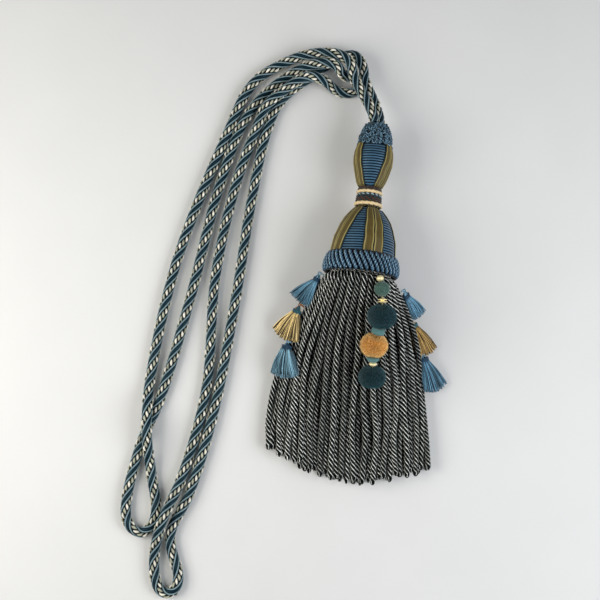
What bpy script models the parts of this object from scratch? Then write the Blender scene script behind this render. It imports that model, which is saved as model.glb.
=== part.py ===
"""Curtain tieback: a long twisted rope knotted above a wound tassel with a bullion skirt.

The tieback lies on a table, which is the plane z = 0. X runs to the right, Y runs from the
skirt's hem towards the knot, and the origin is the flat spot under the tassel's collar.
"""

import math

import bmesh
import bpy
from mathutils import Euler, Matrix, Vector

MM = 0.001

# ---------------------------------------------------------------- rope
ROPE_D = 8.2 * MM
ROPE_PITCH = 39.0 * MM              # one full turn of the four strands
ROPE_STATIONS = 6.5                 # rings in one pitch
ROPE_CREST = (1.0, 0.79, 0.95, 0.79, 1.0, 0.79, 0.95, 0.79)

# The rope's middle line in millimetres, from the tassel's head through the knot, down and
# back twice and into the head again. The rope lies on the table except where it crosses.
ROPE_ROUTE = (
    # out of the head and over the top of the knot
    (10.5, 107.6, 27.8), (9.6, 114.5, 27.2), (3.0, 130.5, 23.4), (-4.5, 145.5, 21.4),
    (-7.0, 157.0, 21.0), (-16.0, 165.0, 19.0), (-32.0, 168.0, 14.0), (-53.5, 165.0, 6.5),
    # first line down, over the second one
    (-83.5, 146.5, 4.2), (-105.0, 102.5, 4.2), (-142.5, 3.5, 4.2), (-161.5, -88.0, 4.2),
    (-162.5, -112.0, 11.5), (-162.0, -132.0, 13.0), (-159.5, -158.5, 5.0),
    # first loop
    (-155.5, -187.0, 4.2), (-159.0, -198.5, 4.2), (-166.5, -203.0, 4.2),
    (-174.5, -199.0, 4.2), (-178.5, -187.0, 4.2),
    # second line up
    (-169.0, -140.5, 4.2), (-153.0, -100.5, 4.2), (-131.0, -23.0, 4.2),
    (-110.5, 60.5, 4.2), (-89.8, 117.0, 4.2), (-67.0, 144.0, 4.2),
    # the knot's bight: over the bundle, under the neck and back below it
    (-42.5, 158.0, 9.5), (-24.5, 158.5, 19.0), (-17.0, 155.0, 19.5), (-13.5, 150.5, 15.5),
    (-7.5, 149.5, 10.5), (-1.5, 148.5, 6.0), (1.5, 144.5, 4.2), (-2.5, 140.0, 4.2),
    (-10.0, 138.5, 4.2), (-19.0, 141.5, 4.8), (-27.0, 147.0, 10.0), (-39.5, 149.5, 13.0),
    # third line down, over the first loop
    (-59.0, 138.0, 13.0), (-73.0, 125.5, 11.0), (-81.0, 108.5, 5.5), (-96.0, 67.5, 4.2),
    (-112.0, -7.0, 4.2), (-118.5, -96.0, 4.2), (-136.0, -161.5, 5.0), (-149.5, -193.5, 12.0),
    # second loop
    (-156.0, -217.5, 4.6), (-155.5, -236.0, 4.2), (-152.0, -245.0, 4.2),
    (-146.5, -247.8, 4.2), (-140.5, -245.0, 4.2), (-138.0, -236.0, 4.2),
    # fourth line up and through the knot's underside
    (-144.5, -205.5, 4.2), (-130.0, -173.0, 4.2), (-112.5, -112.5, 4.2),
    (-96.0, -24.0, 4.2), (-85.0, 48.5, 4.2), (-72.5, 108.0, 4.2), (-61.5, 132.5, 4.2),
    (-38.5, 151.5, 4.2), (-13.0, 167.0, 7.5), (-3.0, 167.0, 10.5), (3.0, 158.0, 12.5),
    # back into the head
    (4.5, 146.0, 13.5), (10.6, 130.5, 14.6), (14.9, 115.5, 18.8), (15.6, 106.8, 20.6),
)

# ---------------------------------------------------------------- tassel head
HEAD_FOOT = (-1.1 * MM, -10.3 * MM, 27.3 * MM)   # on the axis, at the collar's lower edge
HEAD_TILT = 1.5                     # degrees the crown dips towards the table
HEAD_LEAN = 6.85                    # degrees the axis leans to the right
HEAD_SIDES = 16
CROWN = (100.6 * MM, 117.5 * MM)    # from the wound mould to the rope's neck
WIND_PITCH = 2.3 * MM
WIND_DEPTH = 0.45 * MM

# Distances are measured along the axis from the collar's lower edge.
BULB = ((100.2, 12.5), (95.3, 13.9), (90.7, 14.4), (86.2, 14.1), (81.6, 13.0), (77.0, 11.8),
        (72.9, 10.5), (69.1, 8.8))
BELL = ((50.4, 11.0), (46.6, 14.4), (41.8, 17.8), (36.2, 20.2), (26.7, 23.1), (17.0, 23.9))
WAIST = ((67.5, 6.5), (52.2, 6.5))
MOULD = BULB + WAIST + BELL
MOULD_FOOT = (10.5 * MM, 23.9 * MM)

RIBBON_T = 0.6 * MM
RIBBON_GROOVE = 0.3 * MM
# angle from the front at the bulb's top and foot and at the bell's top and foot, in degrees
RIBBONS = ((-66.0, -57.0, -42.0, -64.0), (62.0, 42.0, 16.0, 15.0), (121.0, 104.0, 98.0, 106.0),
           (179.0, 166.0, 162.0, 162.0), (-122.0, -126.0, -126.0, -132.0))
RIBBON_TURNS = (100.0, 67.0, 50.0, 16.2)        # where along the axis those angles hold
RIBBON_HALF = ((100.0, 5.4), (90.0, 6.0), (69.6, 4.5), (68.0, 3.4), (51.6, 3.4), (49.0, 5.0),
               (36.0, 7.2), (16.2, 8.0))

COLLAR_H = 15.5 * MM
COLLAR_BORE = 24.8 * MM
COLLAR_CORDS = 42
COLLAR_CORD_DEPTH = 1.1 * MM
COLLAR_SLANT = 29.0                 # degrees between a cord and the tassel's axis
COLLAR_ROWS = ((0.0, 29.2), (4.0, 29.7), (8.0, 29.4), (12.0, 28.3), (15.5, 27.1))

# ---------------------------------------------------------------- skirt
CORD_R = 2.35 * MM
FLAT_DOWN = math.radians(-30.0)     # turns a three-sided cord onto one of its flats
SKIRT_ROOT = (1.0 * MM, 10.1 * MM)  # the header that all cords hang from, inside the collar
SKIRT_ROOT_R = 24.1 * MM
SKIRT_FLARE = 1.18                  # how far the cords swell out below the collar
SKIRT_SPREAD = (-71.0 * MM, 49.5 * MM)          # middle lines of the outermost cords at the hem
HEM_MID = (-3.0 * MM, -166.0 * MM)
HEM_RISE = (29.0 * MM, 12.5 * MM)   # how much shorter the skirt is at its left and right edge


def clean_scene():
    """Take every object of the open scene away."""
    for item in list(bpy.data.objects):
        bpy.data.objects.remove(item, do_unlink=True)


def material(name, colour, roughness=0.8, metallic=0.0):
    """A plain Principled material."""
    made = bpy.data.materials.new(name)
    made.use_nodes = True
    shader = made.node_tree.nodes["Principled BSDF"]
    shader.inputs["Base Color"].default_value = (*colour, 1.0)
    shader.inputs["Roughness"].default_value = roughness
    shader.inputs["Metallic"].default_value = metallic
    return made


def new_object(name, bm, look, smooth=True):
    """Turn a bmesh into a linked object with outward normals."""
    bmesh.ops.recalc_face_normals(bm, faces=bm.faces)
    mesh = bpy.data.meshes.new(name)
    bm.to_mesh(mesh)
    bm.free()
    for face in mesh.polygons:
        face.use_smooth = smooth
    mesh.materials.append(look)
    made = bpy.data.objects.new(name, mesh)
    bpy.context.scene.collection.objects.link(made)
    return made


def loft(bm, rings):
    """Skin closed rings of equal count and cap both ends."""
    rows = [[bm.verts.new(point) for point in ring] for ring in rings]
    count = len(rows[0])
    for low, high in zip(rows, rows[1:]):
        for i in range(count):
            j = (i + 1) % count
            bm.faces.new((low[i], low[j], high[j], high[i]))
    bm.faces.new(list(reversed(rows[0])))
    bm.faces.new(rows[-1])


def lerp_table(table, at):
    """Read a table of (place, value) pairs with straight lines between them."""
    rising = sorted(table)
    if at <= rising[0][0]:
        return rising[0][1]
    for (a, low), (b, high) in zip(rising, rising[1:]):
        if at <= b:
            return low + (high - low) * (at - a) / (b - a)
    return rising[-1][1]


def curve_through(points, per_span):
    """Centripetal Catmull-Rom curve through the points."""
    pts = [Vector(p) for p in points]
    pts = [pts[0] * 2 - pts[1]] + pts + [pts[-1] * 2 - pts[-2]]
    out = []
    for p0, p1, p2, p3 in zip(pts, pts[1:], pts[2:], pts[3:]):
        t1 = (p1 - p0).length ** 0.5
        t2 = t1 + (p2 - p1).length ** 0.5
        t3 = t2 + (p3 - p2).length ** 0.5
        for step in range(per_span):
            t = t1 + (t2 - t1) * step / per_span
            a1 = p0.lerp(p1, t / t1)
            a2 = p1.lerp(p2, (t - t1) / (t2 - t1))
            a3 = p2.lerp(p3, (t - t2) / (t3 - t2))
            b1 = a1.lerp(a2, t / t2)
            b2 = a2.lerp(a3, (t - t1) / (t3 - t1))
            out.append(b1.lerp(b2, (t - t1) / (t2 - t1)))
    out.append(pts[-2])
    return out


def evenly(points, step):
    """The same line, with points an equal distance of about one step apart."""
    reach = [0.0]
    for a, b in zip(points, points[1:]):
        reach.append(reach[-1] + (b - a).length)
    count = max(1, round(reach[-1] / step))
    out = []
    span = 0
    for k in range(count + 1):
        at = reach[-1] * k / count
        while span < len(points) - 2 and reach[span + 1] < at:
            span += 1
        part = (at - reach[span]) / (reach[span + 1] - reach[span])
        out.append(points[span].lerp(points[span + 1], part))
    return out


def frames_along(points, first=None, last=None):
    """Tangent and two untwisted normals at every point of a line."""
    tangents = []
    for k in range(len(points)):
        ahead = points[min(k + 1, len(points) - 1)]
        behind = points[max(k - 1, 0)]
        tangents.append((ahead - behind).normalized())
    if first is not None:
        tangents[0] = first
    if last is not None:
        tangents[-1] = last
    side = tangents[0].orthogonal().normalized()
    out = []
    for tangent in tangents:
        side = (side - tangent * side.dot(tangent)).normalized()
        out.append((tangent, side, tangent.cross(side)))
    return out


def tube(bm, points, sizes, sides, turn):
    """A plain cord with one radius for each of its points, turned about its own line."""
    rings = []
    for point, size, frame in zip(points, sizes, frames_along(points)):
        level = frame[0].cross(Vector((0.0, 0.0, 1.0))).normalized()
        rise = level.cross(frame[0])
        ring = []
        for i in range(sides):
            angle = turn + math.tau * i / sides
            ring.append(point + (level * math.cos(angle) + rise * math.sin(angle)) * size)
        rings.append(ring)
    loft(bm, rings)


def head_matrix():
    """Places head-space: Z up the axis, -Y towards the viewer, X to the right."""
    turn = Euler((-math.radians(90.0 + HEAD_TILT), 0.0, -math.radians(HEAD_LEAN)), "XYZ")
    return Matrix.Translation(HEAD_FOOT) @ turn.to_matrix().to_4x4()


def around(radius, degrees, along):
    """A point in head-space, its angle counted from the front towards the right."""
    angle = math.radians(degrees)
    return Vector((radius * math.sin(angle), -radius * math.cos(angle), along))


def on_head(made, axis_empty):
    """Fix a piece that was built in head-space to the tassel's axis."""
    made.parent = axis_empty
    return made


# ---------------------------------------------------------------- pieces
def build_rope(look):
    """Four-strand rope, its twist raised along the whole route."""
    line = curve_through([Vector(p) * MM for p in ROPE_ROUTE], 12)
    radius = ROPE_D / 2
    for point in line:
        point.z = max(point.z, radius + 0.02 * MM)
    line = evenly(line, ROPE_PITCH / ROPE_STATIONS)
    axis = head_matrix().to_3x3() @ Vector((0.0, 0.0, 1.0))
    rings = []
    for k, (point, frame) in enumerate(zip(line, frames_along(line, axis, -axis))):
        turn = math.tau * k / ROPE_STATIONS
        ring = []
        for i, crest in enumerate(ROPE_CREST):
            angle = turn + math.tau * i / len(ROPE_CREST)
            out = frame[1] * math.cos(angle) + frame[2] * math.sin(angle)
            spot = point + out * radius * crest
            spot.z = max(spot.z, 0.0)
            ring.append(spot)
        rings.append(ring)
    bm = bmesh.new()
    loft(bm, rings)
    return new_object("rope", bm, look)


def lathe(bm, profile, sides, lump=None):
    """Turn (along, radius) pairs about the head's axis."""
    rings = []
    for along, radius in profile:
        ring = []
        for i in range(sides):
            degrees = 360.0 * i / sides
            swell = lump(along, degrees) if lump else 0.0
            ring.append(around(radius + swell, degrees, along))
        rings.append(ring)
    loft(bm, rings)


def wound(table, pitch):
    """A profile with one raised turn of cord per pitch, from the table's start to its end."""
    start, end = table[0][0] * MM, table[-1][0] * MM
    turns = round(abs(end - start) / pitch)
    out = []
    for k in range(turns):
        for part, depth in ((0.0, WIND_DEPTH), (0.5, 0.0)):
            along = start + (end - start) * (k + part) / turns
            out.append((along, lerp_table(table, along / MM) * MM - depth))
    out.append((end, lerp_table(table, end / MM) * MM - WIND_DEPTH))
    return out


def build_mould(look):
    """Turned mould under the winding: bulb, waist and bell."""
    profile = wound(BULB, WIND_PITCH)
    profile += [(along * MM, radius * MM) for along, radius in WAIST]
    profile += wound(BELL, WIND_PITCH)
    profile.append(MOULD_FOOT)
    bm = bmesh.new()
    lathe(bm, profile, HEAD_SIDES)
    return new_object("mould", bm, look)


def build_crown(look):
    """Dome of knotted loops over the mould's top, around the rope's two ends."""
    low, high = CROWN
    rows = ((0.0, 11.9), (0.12, 12.8), (0.34, 12.7), (0.56, 12.0), (0.78, 10.8), (1.0, 9.2))

    def lump(along, degrees):
        row = round((along - low) / (high - low) / 0.22)
        return 0.7 * MM * math.cos(math.radians(9.0 * degrees + 180.0 * row))

    profile = [(low + (high - low) * part, radius * MM) for part, radius in rows]
    bm = bmesh.new()
    lathe(bm, profile, 36, lump)
    return new_object("crown", bm, look)


def build_ribbon(name, angles, look):
    """A pair of flat ribbons side by side, from the crown to the collar."""
    places = [min(along, CROWN[0] / MM - 0.5) for along, _ in MOULD[:-1]] + [16.3]
    rings = []
    for along in places:
        steep = 49.0 < along < 53.0 or 67.0 < along < 70.0
        lift = 0.72 if steep else 0.52
        inner = (lerp_table(MOULD, along) + lift) * MM
        half = lerp_table(RIBBON_HALF, along) * MM
        middle = lerp_table(tuple(zip(RIBBON_TURNS, angles)), along)
        outer_row = []
        inner_row = []
        for step in (-1.0, -0.5, 0.0, 0.5, 1.0):
            degrees = middle + math.degrees(half * step / (inner + RIBBON_T))
            dip = RIBBON_GROOVE if step == 0.0 else 0.0
            outer_row.append(around(inner + RIBBON_T - dip, degrees, along * MM))
            inner_row.append(around(inner, degrees, along * MM))
        rings.append(outer_row + list(reversed(inner_row)))
    bm = bmesh.new()
    loft(bm, rings)
    return new_object(name, bm, look)


def build_ring(name, low, high, outer, look):
    """A rounded ring on the waist, over the ribbons."""
    bore = 8.1 * MM
    middle = (low + high) / 2 * MM
    half = (high - low) / 2 * MM
    swell = outer * MM - bore
    section = []
    for out, up in ((0.0, -1.0), (0.75, -0.8), (1.0, 0.0), (0.75, 0.8), (0.0, 1.0)):
        section.append((bore + swell * out, middle + half * up))
    bm = bmesh.new()
    rows = []
    for radius, along in section:
        rows.append([bm.verts.new(around(radius, 20.0 * i, along)) for i in range(18)])
    for row, after in zip(rows, rows[1:] + rows[:1]):
        for i in range(18):
            j = (i + 1) % 18
            bm.faces.new((row[i], row[j], after[j], after[i]))
    return new_object(name, bm, look)


def build_collar(look):
    """Band of slanted twisted cords over the mould's foot, pressed flat where it rests."""
    place = head_matrix()
    back = place.inverted()
    bm = bmesh.new()
    rows = []
    for along, radius in COLLAR_ROWS:
        slant = math.degrees(along * math.tan(math.radians(COLLAR_SLANT)) / 28.5)
        row = []
        for i in range(2 * COLLAR_CORDS):
            depth = COLLAR_CORD_DEPTH if i % 2 else 0.0
            spot = around(radius * MM - depth, 180.0 * i / COLLAR_CORDS - slant, along * MM)
            world = place @ spot
            world.z = max(world.z, 0.0)
            row.append(bm.verts.new(back @ world))
        rows.append(row)
    count = 2 * COLLAR_CORDS
    for low, high in zip(rows, rows[1:]):
        for i in range(count):
            j = (i + 1) % count
            bm.faces.new((low[i], low[j], high[j], high[i]))
    bores = []
    for row, along in ((rows[0], 0.0), (rows[-1], COLLAR_H)):
        slant = math.degrees(along / MM * math.tan(math.radians(COLLAR_SLANT)) / 28.5)
        bore = []
        for i in range(COLLAR_CORDS):
            bore.append(bm.verts.new(around(COLLAR_BORE, 360.0 * i / COLLAR_CORDS - slant, along)))
        for i in range(COLLAR_CORDS):
            j = (i + 1) % COLLAR_CORDS
            bm.faces.new((row[2 * i], row[2 * i + 1], row[2 * j], bore[j], bore[i]))
        bores.append(bore)
    for i in range(COLLAR_CORDS):
        j = (i + 1) % COLLAR_CORDS
        bm.faces.new((bores[0][i], bores[0][j], bores[1][j], bores[1][i]))
    return new_object("collar", bm, look)


def hem_at(x):
    """How far down the hem reaches at one place across it."""
    side = 0 if x < HEM_MID[0] else 1
    reach = abs(SKIRT_SPREAD[side] - HEM_MID[0])
    return HEM_MID[1] + HEM_RISE[side] * (abs(x - HEM_MID[0]) / reach) ** 1.6


def skirt_rows():
    """One (start radius, start angle, place across, hem height, droop, size, sides) a cord."""
    cords = []
    for i in range(25):
        across = i / 24
        turn = -78.0 + 156.0 * across
        edge = abs(2 * across - 1) ** 4
        top_z = 13.9 - 6.2 * edge
        if i % 2 == 0:
            cords.append((21.7, turn, across, top_z, 1.6 + 1.5 * edge, 1.0, 4))
            cords.append((21.7, 180.0 - turn, across, 1.25, 2.7 + 1.4 * edge, 0.95, 3))
        else:
            cords.append((17.2, turn, across, top_z - 1.5, 2.0 + 1.0 * edge, 0.84, 4))
            cords.append((17.2, 180.0 - turn, across, 1.25, 1.5 + 0.5 * edge, 0.85, 3))
    for i in range(5):
        for j, up in enumerate((6.5, 0.0, -6.5)):
            side = (i - 2) * 5.0
            turn = math.degrees(math.atan2(side, up))
            across = 0.23 + 0.54 * (3 * i + j) / 14
            cords.append((math.hypot(side, up), turn, across, 7.2, 2.2, 0.7, 3))
    return cords


def skirt_cord(start_r, turn, across, hem_z, droop, sway, places):
    """Middle line of one bullion cord, from the header to its looped end."""
    place = head_matrix()
    low, high = SKIRT_SPREAD
    end_x = low + (high - low) * across
    end_y = hem_at(end_x) + sway * MM
    inside = place @ around(start_r * MM, turn, 2.5 * MM)
    leaving = place @ around(start_r * MM, turn, -0.9 * MM)
    begin = place @ around(start_r * SKIRT_FLARE * MM, turn, -4.5 * MM)
    points = [inside, leaving]
    for t in places:
        ease = 1.0 - (1.0 - t) ** 2
        x = begin.x + (end_x - begin.x) * ease
        y = begin.y + (end_y - begin.y) * t
        z = hem_z * MM + (begin.z - hem_z * MM) * (1.0 - t) ** droop
        points.append(Vector((x, y, z)))
    return points


def fuse(body, extra, name):
    """Union of a body and the strands that grow out of it."""
    join = body.modifiers.new(name, "BOOLEAN")
    join.operation = "UNION"
    join.solver = "EXACT"
    join.object = extra
    depsgraph = bpy.context.evaluated_depsgraph_get()
    merged = bpy.data.meshes.new_from_object(body.evaluated_get(depsgraph))
    body.modifiers.clear()
    body.data = merged
    bpy.data.objects.remove(extra, do_unlink=True)
    return body


def build_skirt(look):
    """Bullion skirt: every cord hangs from one round header."""
    root = bmesh.new()
    lathe(root, ((SKIRT_ROOT[0], SKIRT_ROOT_R), (SKIRT_ROOT[1], SKIRT_ROOT_R)), 32)
    root.transform(head_matrix())
    header = new_object("skirt", root, look, smooth=False)
    bm = bmesh.new()
    for k, (start_r, turn, across, hem_z, droop, size, sides) in enumerate(skirt_rows()):
        sway = 2.2 * math.sin(2.4 * k)
        places = (0.0, 0.1, 0.25, 0.45, 0.7, 1.0) if sides == 4 else (0.0, 0.2, 0.5, 1.0)
        points = skirt_cord(start_r, turn, across, hem_z, droop, sway, places)
        sizes = [CORD_R * size * grow for grow in [0.84, 0.84, 0.88] + [1.0] * (len(places) - 1)]
        tube(bm, points, sizes, sides, 0.0 if sides == 4 else FLAT_DOWN)
    for vert in bm.verts:
        vert.co.z = max(vert.co.z, 0.0)
    cords = new_object("skirt_cords", bm, look)
    return fuse(header, cords, "cords")


def build_small_tassel(name, root, loop, neck, tips, locks, look):
    """A thread tassel: thread, loop and bound head in one, and a fan of locks from the neck."""
    top = Vector(loop) * MM
    low = Vector(neck) * MM
    run = (low - top).normalized()
    bm = bmesh.new()
    marks = ((0.0, 0.9), (0.18, 1.9), (0.5, 2.4), (0.8, 2.3), (1.0, 2.8))
    points = [Vector(root) * MM] + [top.lerp(low, part) for part, _ in marks]
    tube(bm, points, [size * MM for size in [0.8] + [size for _, size in marks]], 8, 0.0)
    head = new_object(name, bm, look)
    fan = bmesh.new()
    line = curve_through([Vector(tip) * MM for tip in tips], 8)
    side = (line[-1] - line[0]).normalized()
    for k in range(locks):
        place = k / (locks - 1)
        tip = line[round(place * (len(line) - 1))]
        start = low - run * 1.0 * MM + side * (place - 0.5) * 4.2 * MM
        middle = start.lerp(tip, 0.55) + Vector((0.0, 0.0, 0.8 * MM))
        tube(fan, [start, start.lerp(tip, 0.2), middle, tip],
             [size * MM for size in (0.18, 0.34, 0.75, 0.95)], 3, FLAT_DOWN)
    return fuse(head, new_object(name + "_fan", fan, look), "fan")


def build_bead(name, centre, along, across, sides, rows, look, lump=0.0):
    """A ball, disc or pompom of the front string, its hole along local Z."""
    bm = bmesh.new()
    rings = []
    end = math.cos(math.pi / rows)
    for row in range(1, rows):
        turn = math.pi * row / rows
        ring = []
        for i in range(sides):
            angle = math.tau * i / sides
            grow = 1.0 + lump * (1 if (row + i) % 2 else -1)
            size = across / 2 * MM * math.sin(turn) ** 0.8 * grow
            ring.append(Vector((math.cos(angle) * size, math.sin(angle) * size,
                                -math.cos(turn) / end * along / 2 * MM)))
        rings.append(ring)
    loft(bm, rings)
    made = new_object(name, bm, look)
    made.location = Vector(centre) * MM
    return made


BEADS = (
    # name, centre, length along the string, diameter, sides, rows, look, lumps
    ("bead_top", (11.6, -15.9, 54.8), 3.6, 5.5, 12, 6, "gold_metal", 0.0),
    ("velvet_ball", (13.0, -23.6, 54.8), 10.6, 10.9, 14, 8, "velvet", 0.0),
    ("spacer", (13.2, -31.7, 54.4), 4.3, 7.0, 14, 5, "gold_metal", 0.0),
    ("pompom_a", (12.8, -43.6, 53.5), 18.0, 21.6, 14, 9, "teal_wool", 0.035),
    ("connector", (10.3, -54.0, 50.2), 2.1, 9.4, 14, 4, "teal_wool", 0.0),
    ("pompom_b", (7.4, -64.0, 46.6), 18.2, 20.4, 14, 9, "peach_wool", 0.035),
    ("bead_grey", (6.93, -74.73, 43.1), 2.8, 9.2, 14, 5, "velvet", 0.0),
    ("bead_low", (6.81, -77.38, 42.3), 1.9, 4.4, 10, 4, "gold_metal", 0.0),
    ("pompom_c", (6.4, -86.8, 39.4), 17.2, 20.0, 14, 9, "teal_wool", 0.035),
)

SMALL_TASSELS = (
    # name, thread's start at the skirt, loop's top, neck,
    # tips from the outer to the inner side, locks, look
    ("tassel_left_1", (-30.5, -12.4, 31.2), (-33.8, -9.6, 30.4), (-39.8, -14.6, 28.0),
     ((-55.8, -21.4, 13.0), (-53.4, -26.0, 14.5), (-50.0, -29.8, 17.5), (-46.0, -32.4, 21.5)),
     9, "blue_thread"),
    ("tassel_left_2", (-43.8, -34.8, 18.8), (-51.4, -33.0, 20.0), (-52.4, -41.0, 19.6),
     ((-67.0, -48.0, 6.0), (-62.0, -55.0, 11.5), (-55.6, -58.6, 18.0), (-49.6, -60.2, 24.5)),
     9, "gold_thread"),
    ("tassel_left_3", (-55.4, -61.2, 15.8), (-59.0, -60.6, 20.0), (-59.4, -67.6, 18.5),
     ((-71.0, -82.4, 6.5), (-66.0, -86.4, 12.0), (-59.6, -88.2, 16.5), (-52.6, -88.6, 20.5)),
     9, "blue_thread"),
    ("tassel_right_1", (29.0, -24.7, 28.2), (34.2, -21.0, 25.0), (37.4, -26.6, 21.0),
     ((51.6, -33.8, 8.0), (49.4, -38.0, 8.0), (46.0, -41.0, 11.0), (42.6, -42.6, 15.0)),
     7, "blue_thread"),
    ("tassel_right_2", (37.1, -48.5, 18.2), (43.6, -45.6, 13.0), (46.0, -52.6, 10.6),
     ((60.6, -62.6, 3.0), (56.0, -66.6, 3.6), (51.0, -69.0, 7.0), (46.4, -70.4, 11.0)),
     8, "gold_thread"),
    ("tassel_right_3", (43.5, -73.2, 12.2), (50.2, -70.6, 8.0), (52.4, -77.8, 8.0),
     ((66.8, -89.6, 2.6), (62.4, -95.4, 2.6), (56.6, -98.2, 5.0), (50.6, -98.4, 10.0)),
     9, "blue_thread"),
)


def main():
    clean_scene()
    looks = {
        "rope": material("rope", (0.035, 0.085, 0.115), 0.55),
        "blue_loops": material("blue_loops", (0.07, 0.16, 0.28), 0.8),
        "blue_winding": material("blue_winding", (0.065, 0.15, 0.26), 0.6),
        "gold_ribbon": material("gold_ribbon", (0.25, 0.17, 0.05), 0.6),
        "cream_cord": material("cream_cord", (0.76, 0.48, 0.2), 0.7),
        "dark_band": material("dark_band", (0.03, 0.045, 0.045), 0.6),
        "blue_cord": material("blue_cord", (0.075, 0.16, 0.26), 0.7),
        "bullion": material("bullion", (0.05, 0.075, 0.075), 0.7),
        "blue_thread": material("blue_thread", (0.1, 0.25, 0.42), 0.7),
        "gold_thread": material("gold_thread", (0.62, 0.4, 0.11), 0.7),
        "teal_wool": material("teal_wool", (0.014, 0.042, 0.06), 0.95),
        "peach_wool": material("peach_wool", (0.62, 0.29, 0.08), 0.95),
        "velvet": material("velvet", (0.08, 0.16, 0.13), 0.85),
        "gold_metal": material("gold_metal", (0.75, 0.48, 0.15), 0.3, 1.0),
    }
    build_rope(looks["rope"])

    axis = bpy.data.objects.new("tassel_axis", None)
    axis.matrix_world = head_matrix()
    bpy.context.scene.collection.objects.link(axis)
    on_head(build_crown(looks["blue_loops"]), axis)
    on_head(build_mould(looks["blue_winding"]), axis)
    for k, angles in enumerate(RIBBONS):
        on_head(build_ribbon(f"ribbons_{k + 1}", angles, looks["gold_ribbon"]), axis)
    on_head(build_ring("ring_olive", 65.5, 67.1, 9.4, looks["dark_band"]), axis)
    on_head(build_ring("ring_cream_up", 62.4, 65.2, 9.95, looks["cream_cord"]), axis)
    on_head(build_ring("band_dark", 56.2, 62.1, 9.9, looks["dark_band"]), axis)
    on_head(build_ring("ring_cream_low", 52.8, 55.9, 11.0, looks["cream_cord"]), axis)
    on_head(build_collar(looks["blue_cord"]), axis)

    build_skirt(looks["bullion"])
    for name, root, loop, neck, tips, locks, look in SMALL_TASSELS:
        build_small_tassel(name, root, loop, neck, tips, locks, looks[look])
    centres = [Vector(row[1]) for row in BEADS]
    for k, (name, centre, along, across, sides, rows, look, lump) in enumerate(BEADS):
        bead = build_bead(name, centre, along, across, sides, rows, looks[look], lump)
        down = centres[min(k + 1, len(BEADS) - 1)] - centres[max(k - 1, 0)]
        bead.rotation_euler = down.to_track_quat("Z", "X").to_euler()


main()
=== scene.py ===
"""Curtain tieback tassel: its yarns, cords, ribbons and pompoms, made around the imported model.

Everything stands in the model's own frame, in metres: +X to the right, +Y from the skirt's hem
towards the knot, +Z up, and the table at z = 0. Shapes are worked out in millimetres.
"""

import math
import random

import bpy
import numpy as np
from bpy.props import FloatProperty, FloatVectorProperty, IntProperty, PointerProperty
from bpy.types import Operator, Panel, PropertyGroup
from mathutils import Euler, Matrix, Vector


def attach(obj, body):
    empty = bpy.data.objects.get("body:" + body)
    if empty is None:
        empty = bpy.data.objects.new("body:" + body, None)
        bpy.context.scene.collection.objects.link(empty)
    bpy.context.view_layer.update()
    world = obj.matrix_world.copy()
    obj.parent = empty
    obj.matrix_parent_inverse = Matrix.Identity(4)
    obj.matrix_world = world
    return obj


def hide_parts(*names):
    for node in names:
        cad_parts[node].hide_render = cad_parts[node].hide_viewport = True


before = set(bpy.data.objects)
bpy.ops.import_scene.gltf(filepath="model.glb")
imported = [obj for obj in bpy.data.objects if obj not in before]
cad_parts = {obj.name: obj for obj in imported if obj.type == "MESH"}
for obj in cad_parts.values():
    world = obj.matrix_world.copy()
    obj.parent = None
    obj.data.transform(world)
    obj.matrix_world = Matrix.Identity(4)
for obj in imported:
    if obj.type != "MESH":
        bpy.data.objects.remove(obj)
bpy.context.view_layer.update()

bl_info = {
    "name": "Curtain tieback tassel",
    "version": (1, 0, 0),
    "blender": (4, 5, 0),
    "location": "3D View > Sidebar > Tieback",
    "description": "Lays a twisted rope tieback with its wound tassel on a table",
    "category": "Add Mesh",
}

MM = 0.001
TURN = math.tau
UP = np.array([0.0, 0.0, 1.0])
LEVEL = np.array([1.0, 1.0, 0.0])
CLEAR = 0.05                        # no surface goes down to the table's own

# ---------------------------------------------------------------- sizes of the model, in millimetres
ROPE_D = 8.2
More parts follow.
